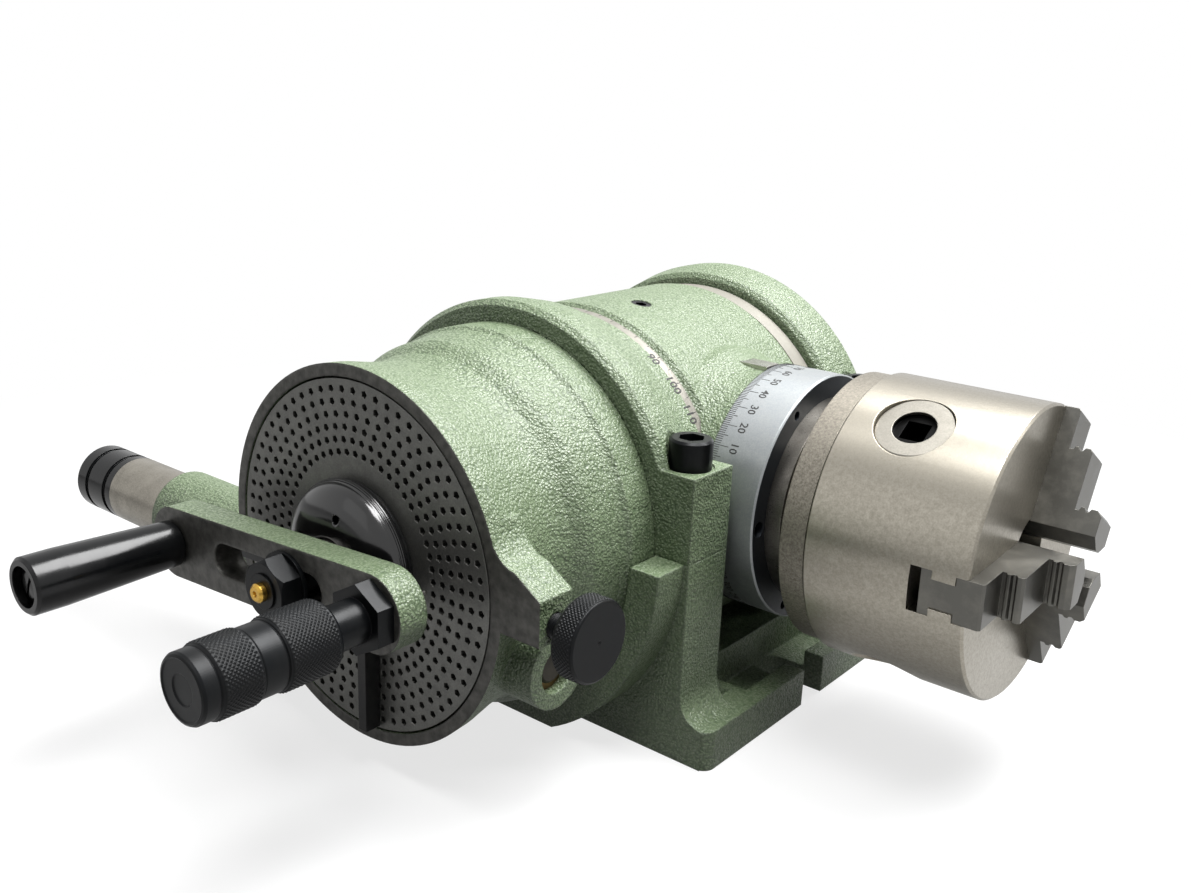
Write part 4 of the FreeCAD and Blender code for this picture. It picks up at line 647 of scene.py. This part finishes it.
@dataclass
class DiamondKnurl:
    """A rolled diamond knurl on a band of a turned grip."""

    centre: Vector
    axis: Axis
    radius: float
    start: float
    end: float
    pitch: float = 1.7
    depth: float = 0.45

    def add_to(self, mesh: BMesh) -> None:
        """Add the band, as diamonds with raised points, to a mesh.

        Args:
            mesh: where the band goes.
        """
        band = bmesh.new()
        steps = round(2 * math.pi * self.radius / self.pitch)
        rows = max(2, round(abs(self.end - self.start) / self.pitch))
        root = self.radius - self.depth
        points = [(self.start + (self.end - self.start) * row / rows, root) for row in range(rows + 1)]
        spin_profile(band, points, self.centre, self.axis, steps)
        grid = [edge for edge in band.edges if not edge.is_boundary]
        bmesh.ops.poke(band, faces=band.faces[:])
        bmesh.ops.dissolve_edges(band, edges=grid, use_verts=False)
        diamonds = [face for face in band.faces if len(face.verts) == 4]
        poked = bmesh.ops.poke(band, faces=diamonds)
        for vert in poked["verts"]:
            arm = vert.co - self.centre
            arm -= self.axis.value * arm.dot(self.axis.value)
            vert.co += arm.normalized() * (self.radius - arm.length)
        bmesh.ops.recalc_face_normals(band, faces=band.faces)
        held = bpy.data.meshes.new("knurl")
        band.to_mesh(held)
        band.free()
        mesh.from_mesh(held)
        bpy.data.meshes.remove(held)


@dataclass
class PlungerGrip:
    """The two-band grip that draws the index pin.

    Attributes:
        angle: the crank arm's slope, in degrees.
        arm: distance from the crank's axis to the pin.
        bore: radius of the bore that runs over the housing.
        housing_end: bottom of that bore.
        mouth: open end of the grip.
        steps: faces round the turn.
    """

    angle: float = 3.5
    arm: float = 48.8
    bore: float = 8.65
    housing_end: float = -262.0
    mouth: float = -233.7
    steps: int = 96

    @property
    def centre(self) -> Vector:
        """The pin's axis, at the depth zero."""
        turn = math.radians(self.angle)
        return TILT_AXIS + Vector((self.arm * math.cos(turn), 0.0, self.arm * math.sin(turn)))

    def build(self, palette: Palette) -> Object:
        """Build the grip and let it stand for the plain knob.

        Args:
            palette: the finishes.

        Returns:
            The piece.
        """
        bore = [(self.housing_end, ON_AXIS), (self.housing_end, self.bore), (self.mouth, self.bore)]
        wide_band = [(self.mouth, 12.4), (-234.9, 13.2), (-254.2, 13.2), (-255.2, 12.6)]
        waist = [(-255.4, 12.1), (-256.2, 12.5), (-264.4, 12.5), (-265.0, 12.1)]
        narrow_band = [(-265.4, 13.1), (-279.6, 13.1), (-280.4, 12.5), (-280.8, 12.0)]
        dished_end = [(-281.4, 12.4), (-286.2, 12.4), (-287.2, 11.8), (-287.5, 10.9), (-287.1, 10.4),
                      (-287.0, 5.6), (-286.6, 5.2), (-286.6, ON_AXIS)]
        mesh = bmesh.new()
        spin_profile(mesh, bore + wide_band + waist + narrow_band + dished_end, self.centre, Axis.Y, self.steps)
        DiamondKnurl(self.centre, Axis.Y, 13.6, -254.6, -235.0).add_to(mesh)
        DiamondKnurl(self.centre, Axis.Y, 13.5, -279.9, -265.6).add_to(mesh)
        piece = piece_from(mesh, "plunger_grip", palette.material(KNURL_OXIDE), "plunger")
        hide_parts("plunger_knob")
        return piece


@dataclass
class ThumbScrew:
    """The knurled screw that locks the plate carrier, with its thread."""

    centre: Vector = field(default_factory=lambda: Vector((0.0, -167.6, 90.0)))
    pitch: float = 1.5
    radius: float = 5.0
    depth: float = 0.75
    thread: tuple[float, float] = (80.0, 108.0)
    steps: int = 72

    def build(self, palette: Palette) -> Object:
        """Build the screw and let it stand for the plain one.

        Args:
            palette: the finishes.

        Returns:
            The piece.
        """
        low, high = self.thread
        outline = [(73.3, ON_AXIS), (73.3, 2.2), (77.3, 2.2), (77.3, 4.9), (low, 4.9)]
        for turn in range(int((high - low) / self.pitch)):
            start = low + turn * self.pitch
            outline += [(start + 0.1, self.radius - self.depth), (start + 0.85, self.radius)]
        outline += [(108.4, 4.3), (108.4, 14.6), (109.6, 15.5), (117.4, 15.5), (118.0, 15.3), (118.4, 14.6),
                    (118.4, 0.9), (117.9, ON_AXIS)]
        mesh = bmesh.new()
        spin_profile(mesh, outline, self.centre, Axis.X, self.steps)
        DiamondKnurl(self.centre, Axis.X, 16.0, 109.6, 117.6).add_to(mesh)
        piece = piece_from(mesh, "thumb_screw", palette.material(KNURL_OXIDE), "lock_screw")
        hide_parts("lock_screw")
        return piece


@dataclass
class FrictionDome:
    """The black dome that clamps the sector arms, with the drilled spanner hole.

    Attributes:
        back: where the rim starts, along the crank's axis.
        front: the dome's top.
        top_radius: radius of the flat on top.
        seat: where the hub stands on the plate.
        rim: how far each corner of the grooved rim lies from its start and its radius.
        rim_depth: how wide the rim is.
        crown_inset: how far the dome starts inside the rim.
        crown_steps: steps from the rim to the top.
        hole: the spanner hole's place across and up from the axis.
        hole_radius: its radius.
        drill_at: middle of the drill, along the axis.
    """

    back: float = -179.9
    front: float = -190.9
    radius: float = 34.0
    top_radius: float = 13.5
    bore: float = 12.5
    seat: float = -176.2
    rim: tuple[tuple[float, float], ...] = ((0.0, 0.0), (0.5, 0.0), (0.7, 0.5), (0.9, 0.1), (1.4, 0.2), (1.6, 0.7),
                                            (1.8, 0.4))
    rim_depth: float = 2.0
    crown_inset: float = 0.9
    crown_steps: int = 12
    hole: tuple[float, float] = (4.0, 21.0)
    hole_radius: float = 1.9
    drill_at: float = -192.0
    drill_length: float = 20.0
    steps: int = 128

    def build(self, palette: Palette) -> Object:
        """Build the dome and let it stand for the plain cap.

        Args:
            palette: the finishes.

        Returns:
            The piece.
        """
        outline = [(self.seat, self.top_radius), (self.back, self.top_radius)]
        outline += [(self.back - drop, self.radius - inset) for drop, inset in self.rim]
        foot = self.back - self.rim_depth
        reach = self.radius - self.crown_inset - self.top_radius
        for index in range(self.crown_steps + 1):
            turn = math.pi / 2 * index / self.crown_steps
            outline.append((foot - (foot - self.front) * math.sin(turn), self.top_radius + reach * math.cos(turn)))
        outline += [(self.front, self.bore + 0.3), (self.front + 0.3, self.bore), (self.seat, self.bore),
                    (self.seat, self.top_radius)]
        mesh = bmesh.new()
        spin_profile(mesh, outline, TILT_AXIS, Axis.Y, self.steps)
        piece = piece_from(mesh, "friction_dome", palette.material(DOME_BLACK), "plate", smooth=True)
        self._drill(piece)
        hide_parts("sector_hub")
        return piece

    def _drill(self, piece: Object) -> None:
        """Cut the spanner hole.

        Args:
            piece: the dome.
        """
        across, up = self.hole
        place = Matrix.Translation((across * MM, self.drill_at * MM, (TILT_AXIS.z + up) * MM))
        radius = self.hole_radius * MM
        drill = bmesh.new()
        bmesh.ops.create_cone(drill, cap_ends=True, segments=24, radius1=radius, radius2=radius,
                              depth=self.drill_length * MM, matrix=place @ Matrix.Rotation(math.pi / 2, 4, "X"))
        tool = object_from(drill, "drill")
        cut = piece.modifiers.new("spanner_hole", "BOOLEAN")
        cut.operation = "DIFFERENCE"
        cut.object = tool
        graph = bpy.context.evaluated_depsgraph_get()
        drilled = bpy.data.meshes.new_from_object(piece.evaluated_get(graph))
        piece.modifiers.clear()
        old, spare = piece.data, tool.data
        piece.data = drilled
        bpy.data.meshes.remove(old)
        bpy.data.objects.remove(tool)
        bpy.data.meshes.remove(spare)


@dataclass
class Scale:
    """Engraved lines and figures round a cylinder.

    Attributes:
        name: start of the names of its pieces.
        body: the body that carries it.
        centre: a point on the cylinder's axis.
        axis: the cylinder's axis.
        radius: the cylinder's radius.
        edge: where the lines start, along the axis.
        inward: plus one or minus one, the way the lines run along the axis.
        zero: the angle of the figure nought.
        sense: plus one or minus one, the way the figures grow.
        lines: first graduation, and the one after the last.
        figures: the numbers that are engraved.
        figure_at: where the figures stand, along the axis.
        figure_height: their height.
        lengths: how long a line, a fifth line and a tenth line are, nought for none.
        stroke: how much the strokes of the figures are thickened.
        line_width: how wide a line is.
        line_height: how high it stands, half of it in the cylinder.
        figure_depth: how far the figures stand out of the cylinder and reach into it.
        cap_share: height of a figure as a share of the font's size.
    """

    name: str
    body: str
    centre: Vector
    axis: Axis
    radius: float
    edge: float
    inward: int
    zero: float
    sense: int
    lines: tuple[int, int]
    figures: Sequence[int]
    figure_at: float
    figure_height: float
    lengths: tuple[float, float, float]
    stroke: float
    line_width: float
    line_height: float = 0.12
    figure_depth: float = 0.06
    cap_share: float = 0.7

    def angle(self, graduation: float) -> float:
        """The angle of a graduation, in degrees."""
        return self.zero + self.sense * graduation

    def build(self, palette: Palette) -> None:
        """Build the lines and the figures.

        Args:
            palette: the finishes.
        """
        single, fifth, tenth = self.lengths
        lines = bmesh.new()
        for graduation in range(*self.lines):
            size = tenth if graduation % 10 == 0 else fifth if graduation % 5 == 0 else single
            if size > 0:
                self._line(lines, self.angle(graduation) % 360, size)
        piece_from(lines, self.name + "_lines", palette.material(INK), self.body)
        figures = bmesh.new()
        for number in self.figures:
            self._figure(figures, number)
        piece_from(figures, self.name + "_figures", palette.material(INK), self.body)

    def _line(self, mesh: BMesh, angle: float, size: float) -> None:
        """Add one line.

        Args:
            mesh: where it goes.
            angle: its place round the axis, in degrees.
            size: its length.
        """
        bar = bmesh.ops.create_cube(mesh, size=1.0)["verts"]
        on_x = self.axis is Axis.X
        spans = (size, self.line_width, self.line_height) if on_x else (self.line_width, size, self.line_height)
        bmesh.ops.scale(mesh, vec=Vector(spans), verts=bar)
        along = self.edge + self.inward * size / 2
        bmesh.ops.translate(mesh, vec=self.axis.value * along + Vector((0.0, 0.0, self.radius)), verts=bar)
        bmesh.ops.rotate(mesh, cent=(0.0, 0.0, 0.0), matrix=self._turn(angle), verts=bar)
        bmesh.ops.translate(mesh, vec=self.centre, verts=bar)

    def _turn(self, angle: float) -> Matrix:
        """The rotation that brings the top of the cylinder to an angle."""
        sign = 1 if self.axis is Axis.X else -1
        return Matrix.Rotation(math.radians(sign * (angle - 90)), 3, self.axis.value)

    def _figure(self, mesh: BMesh, number: int) -> None:
        """Add one number, bent round the cylinder, reading downwards.

        Args:
            mesh: where it goes.
            number: the number.
        """
        curve = bpy.data.curves.new("figure", "FONT")
        curve.body = str(number)
        curve.size = self.figure_height / self.cap_share
        curve.align_x = "CENTER"
        curve.align_y = "CENTER"
        curve.extrude = self.figure_depth
        curve.offset = self.stroke
        curve.resolution_u = 2
        holder = bpy.data.objects.new("figure", curve)
        data = bpy.data.meshes.new_from_object(holder)
        before = set(mesh.verts)
        mesh.from_mesh(data)
        fresh = [vert for vert in mesh.verts if vert not in before]
        bpy.data.objects.remove(holder)
        bpy.data.curves.remove(curve)
        bpy.data.meshes.remove(data)
        base = math.radians(self.angle(number))
        for vert in fresh:
            along, up, out = vert.co
            turn = base + (along if self.axis is Axis.X else -along) / self.radius
            reach = self.radius + out
            spot = self.axis.radial * (reach * math.cos(turn)) + self.axis.across * (reach * math.sin(turn))
            vert.co = self.centre + spot + self.axis.value * (self.figure_at + up)


def tilt_scale() -> Scale:
    """The degrees on the swivel's near shoulder."""
    return Scale("tilt_scale", "swivel", TILT_AXIS, Axis.Y, radius=85.4, edge=-42.5, inward=-1, zero=145.7, sense=-1,
                 lines=(60, 125), figures=(90, 100, 110), figure_at=-47.4, figure_height=4.6,
                 lengths=(0.0, 1.4, 2.2), stroke=0.12, line_width=0.3)


def ring_scale() -> Scale:
    """The degrees on the spindle's ring, all the way round."""
    return Scale("spindle_scale", "spindle", SPINDLE_AXIS, Axis.X, radius=56.6, edge=83.0, inward=1, zero=158.4,
                 sense=-1, lines=(0, 360), figures=tuple(range(0, 360, 10)), figure_at=93.4, figure_height=3.7,
                 lengths=(3.5, 5.5, 7.7), stroke=0.05, line_width=0.26)


@dataclass
class SubAssembly:
    """A group of the head's solids that are finished together.

    Attributes:
        wears: each finish, with the solids that wear it.
    """

    wears: Wears

    def dress(self, palette: Palette, nodes: dict[str, Object]) -> None:
        """Give the group's solids their finishes.

        Args:
            palette: the finishes.
            nodes: every solid by name.
        """
        for finish, names in self.wears:
            palette.dress(nodes, finish, names)

    def build(self, palette: Palette) -> None:
        """Build the group's detailed pieces, where it has any.

        Args:
            palette: the finishes.
        """


@dataclass
class TiltingBed(SubAssembly):
    """The base casting, the two clamp straps and their screws."""

    wears: Wears = (
        (PAINT, ("base_casting", "near_clamp_strap", "far_clamp_strap")),
        (BLACK_OXIDE, ("strap_screws",)),
    )


@dataclass
class SwivelHead(SubAssembly):
    """The swivel block with its covers, bushes and tilt scales, and the index housing."""

    wears: Wears = (
        (PAINT, ("swivel_block", "far_cover")),
        (HOUSING_PAINT, ("index_housing",)),
        (NEAR_BAND, ("near_tilt_scale",)),
        (SCALE_BAND, ("far_tilt_scale",)),
        (BRIGHT_STEEL, ("zero_mark_pad",)),
        (BRONZE, ("front_bush", "rear_bush", "worm_bushes")),
        (BLACK_OXIDE, ("far_cover_screws", "filler_plug")),
    )
    scale: Scale = field(default_factory=tilt_scale)

    def build(self, palette: Palette) -> None:
        """Engrave the near tilt scale."""
        self.scale.build(palette)


@dataclass
class SideShaft(SubAssembly):
    """The input shaft beside the housing, in its ground sleeve under a black cap."""

    wears: Wears = (
        (SLEEVE_STEEL, ("side_sleeve",)),
        (GLOSS_BLACK, ("side_cap",)),
        (OILED_STEEL, ("side_shaft",)),
        (BRONZE, ("side_bush",)),
    )


@dataclass
class WormDrive(SubAssembly):
    """The hidden worm shaft with the two spur gears."""

    wears: Wears = (
        (BRIGHT_STEEL, ("worm_shaft", "worm_gear", "crank_gear")),
    )


@dataclass
class DialledSpindle(SubAssembly):
    """The spindle with its worm wheel, nut and graduated ring."""

    wears: Wears = (
        (NOSE_STEEL, ("spindle",)),
        (BRONZE, ("worm_wheel",)),
        (BLACK_OXIDE, ("spindle_nut",)),
        (DIAL_CHROME, ("graduated_ring",)),
    )
    scale: Scale = field(default_factory=ring_scale)

    def build(self, palette: Palette) -> None:
        """Engrave the ring."""
        self.scale.build(palette)


@dataclass
class ThreeJawChuck(SubAssembly):
    """The chuck on its back plate, with the scroll, the jaws and the key pinions."""

    wears: Wears = (
        (CHUCK_STEEL, ("chuck_body", "chuck_rear_cover")),
        (ADAPTER_IRON, ("chuck_back_plate",)),
        (PINION_STEEL, ("chuck_pinion_1", "chuck_pinion_2", "chuck_pinion_3")),
        (JAW_STEEL, ("chuck_jaw_1", "chuck_jaw_2", "chuck_jaw_3", "scroll_plate")),
        (BLACK_OXIDE, ("chuck_screws",)),
    )


@dataclass
class IndexingPlate(SubAssembly):
    """The hole plate with its friction dome, sector arms and lock screw."""

    wears: Wears = (
        (PLATE_STEEL, ("index_plate",)),
        (SPACER_STEEL, ("plate_carrier",)),
        (DOME_BLACK, ("sector_hub",)),
        (SECTOR_STEEL, ("sector_arm_lower", "sector_arm_rear")),
        (KNURL_OXIDE, ("lock_screw",)),
    )
    dome: FrictionDome = field(default_factory=FrictionDome)
    screw: ThumbScrew = field(default_factory=ThumbScrew)

    def build(self, palette: Palette) -> None:
        """Build the dome and the thumb screw."""
        self.dome.build(palette)
        self.screw.build(palette)


@dataclass
class IndexCrank(SubAssembly):
    """The slotted crank arm with its spacer, plunger and handle."""

    wears: Wears = (
        (ARM_PAINT, ("crank_arm",)),
        (SPACER_STEEL, ("arm_spacer",)),
        (BLACK_OXIDE, ("crank_nut", "crank_shaft", "crank_washer", "plunger_housing")),
        (BRASS, ("grease_nipple",)),
        (BRIGHT_STEEL, ("plunger_pin",)),
        (KNURL_OXIDE, ("plunger_knob",)),
        (GLOSS_BLACK, ("handle_grip", "handle_pin")),
    )
    grip: PlungerGrip = field(default_factory=PlungerGrip)

    def build(self, palette: Palette) -> None:
        """Build the knurled grip of the plunger."""
        self.grip.build(palette)


@dataclass(frozen=True)
class Lamp:
    """One soft square lamp that looks at the head."""

    name: str
    place: tuple[float, float, float]
    power: float
    size: float
    aim: tuple[float, float, float] = (0.0, -0.05, 0.09)

    def build(self) -> None:
        """Hang the lamp."""
        data = bpy.data.lights.new(self.name, "AREA")
        data.energy = self.power
        data.size = self.size
        lamp = bpy.data.objects.new(self.name, data)
        lamp.location = self.place
        sight = Vector(self.aim) - Vector(self.place)
        lamp.rotation_euler = sight.to_track_quat("-Z", "Y").to_euler()
        bpy.context.scene.collection.objects.link(lamp)


@dataclass
class Studio:
    """Floor, lamps and surroundings.

    Attributes:
        lamps: the lamps.
        floor_size: side of the floor, in metres.
        floor_drop: how far the floor lies below the base, in metres.
        floor_diffuse: the floor's colour as it lights the head.
        floor_glossy: its colour as metal mirrors it.
        floor_seen: its colour for the camera.
        mirrored_glow: share of white that metal mirrors from the floor.
        near_glow: share of white that the camera sees beside the head.
        fade: distances from the head between which that share grows to one, in metres.
        room: height and grey of the room that lights the head.
        room_strength: how strong that light is.
    """

    lamps: tuple[Lamp, ...] = (
        Lamp("key", (0.3, 0.42, 1.17), 40.0, 0.8),
        Lamp("over", (0.3, -0.28, 1.25), 15.0, 0.5),
        Lamp("front", (-0.5, -1.5, 0.9), 0.9, 0.9),
    )
    floor_size: float = 12.0
    floor_drop: float = 0.0002
    floor_diffuse: str = "#5c5c5c"
    floor_glossy: str = "#a8a8a8"
    floor_seen: str = "#f2f2f2"
    mirrored_glow: float = 0.3
    near_glow: float = 0.45
    fade: tuple[float, float] = (0.25, 1.1)
    room: tuple[tuple[float, str], ...] = ((0.0, "#8a8a88"), (1.0, "#ffffff"), (0.5, "#a5a7a8"), (0.62, "#e6e8ea"))
    room_strength: float = 0.035

    def build(self) -> None:
        """Build the whole studio."""
        self._floor()
        self._world()
        for lamp in self.lamps:
            lamp.build()

    def _floor(self) -> None:
        """Lay a pale floor that keeps the contact shadow."""
        mesh = bmesh.new()
        bmesh.ops.create_grid(mesh, x_segments=1, y_segments=1, size=self.floor_size / 2)
        bmesh.ops.translate(mesh, vec=(0.0, 0.0, -self.floor_drop), verts=mesh.verts)
        floor = object_from(mesh, "studio_floor")
        floor.data.materials.append(self._sweep())

    def _sweep(self) -> Material:
        """Make the floor's white, which turns into the background away from the head."""
        material, tree = new_tree("matt_white_sweep")
        path = add_node(tree, "LightPath")
        cast = mix(tree, path.outputs["Is Glossy Ray"], linear(self.floor_diffuse), linear(self.floor_glossy))
        cloth = mix(tree, path.outputs["Is Camera Ray"], cast, linear(self.floor_seen))
        matt = add_node(tree, "BsdfDiffuse", {"Color": cloth})
        glow = add_node(tree, "Emission", {"Color": (1.0, 1.0, 1.0, 1.0), "Strength": 1.0})
        away = vector_maths(tree, "LENGTH", add_node(tree, "TexCoord").outputs["Object"])
        share = remap(tree, away, self.fade, (self.near_glow, 1.0))
        direct = maths(tree, "MULTIPLY", path.outputs["Is Camera Ray"], share)
        seen = maths(tree, "MULTIPLY_ADD", self._background_ray(tree, path), self.mirrored_glow, direct)
        blend = add_node(tree, "MixShader", {0: seen, 1: matt.outputs[0], 2: glow.outputs[0]})
        add_node(tree, "OutputMaterial", {"Surface": blend.outputs[0]})
        return material

    def _world(self) -> None:
        """Show white to the camera and to metal, and light the head with a soft grey room."""
        world = bpy.data.worlds.new("studio_room")
        bpy.context.scene.world = world
        world.use_nodes = True
        tree = world.node_tree
        tree.nodes.clear()
        where = add_node(tree, "TexCoord")
        split = add_node(tree, "SeparateXYZ", {0: where.outputs["Generated"]})
        height = remap(tree, split.outputs["Z"], (-1.0, 1.0), (0.0, 1.0))
        room = add_node(tree, "ValToRGB", {"Fac": height}, self.room)
        soft = add_node(tree, "Background", {"Color": room.outputs["Color"], "Strength": self.room_strength})
        white = add_node(tree, "Background", {"Color": (1.0, 1.0, 1.0, 1.0), "Strength": 1.0})
        ray = self._background_ray(tree, add_node(tree, "LightPath"))
        blend = add_node(tree, "MixShader", {0: ray, 1: soft.outputs[0], 2: white.outputs[0]})
        add_node(tree, "OutputWorld", {"Surface": blend.outputs[0]})

    def _background_ray(self, tree: NodeTree, path: Node) -> NodeSocket:
        """One for rays that show the background, which are camera, glossy and transmitted rays.

        Args:
            tree: the node tree.
            path: its Light Path node.

        Returns:
            The mask value.
        """
        shiny = maths(tree, "MAXIMUM", path.outputs["Is Glossy Ray"], path.outputs["Is Transmission Ray"])
        return maths(tree, "MAXIMUM", path.outputs["Is Camera Ray"], shiny)


@dataclass
class Viewpoint:
    """The camera of the photograph, solved from the head's own edges."""

    place: Vector = field(default_factory=lambda: Vector((0.3524, -0.4698, 0.2802)))
    right: Vector = field(default_factory=lambda: Vector((0.7754, 0.6302, 0.0397)))
    up: Vector = field(default_factory=lambda: Vector((-0.2162, 0.2060, 0.9544)))
    lens: float = 36.44
    sensor: float = 36.0
    clip_start: float = 0.01

    def build(self) -> None:
        """Place the camera."""
        data = bpy.data.cameras.new("camera")
        data.sensor_fit = "HORIZONTAL"
        data.sensor_width = self.sensor
        data.lens = self.lens
        data.clip_start = self.clip_start
        camera = bpy.data.objects.new("camera", data)
        right = self.right.normalized()
        back = right.cross(self.up).normalized()
        up = back.cross(right)
        turn = Matrix((right, up, back)).transposed().to_4x4()
        camera.matrix_world = Matrix.Translation(self.place) @ turn
        bpy.context.scene.collection.objects.link(camera)
        bpy.context.scene.camera = camera


def main() -> None:
    """Dress the frame, build every added piece and set up the shot."""
    logging.basicConfig(level=logging.INFO, format="%(message)s")
    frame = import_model()
    palette = Palette()
    groups = (TiltingBed(), SwivelHead(), SideShaft(), WormDrive(), DialledSpindle(), ThreeJawChuck(),
              IndexingPlate(), IndexCrank())
    for group in groups:
        group.dress(palette, frame["nodes"])
        group.build(palette)
    Studio().build()
    Viewpoint().build()
    bpy.context.scene.view_settings.view_transform = "Standard"


if __name__ == "__main__":
    main()
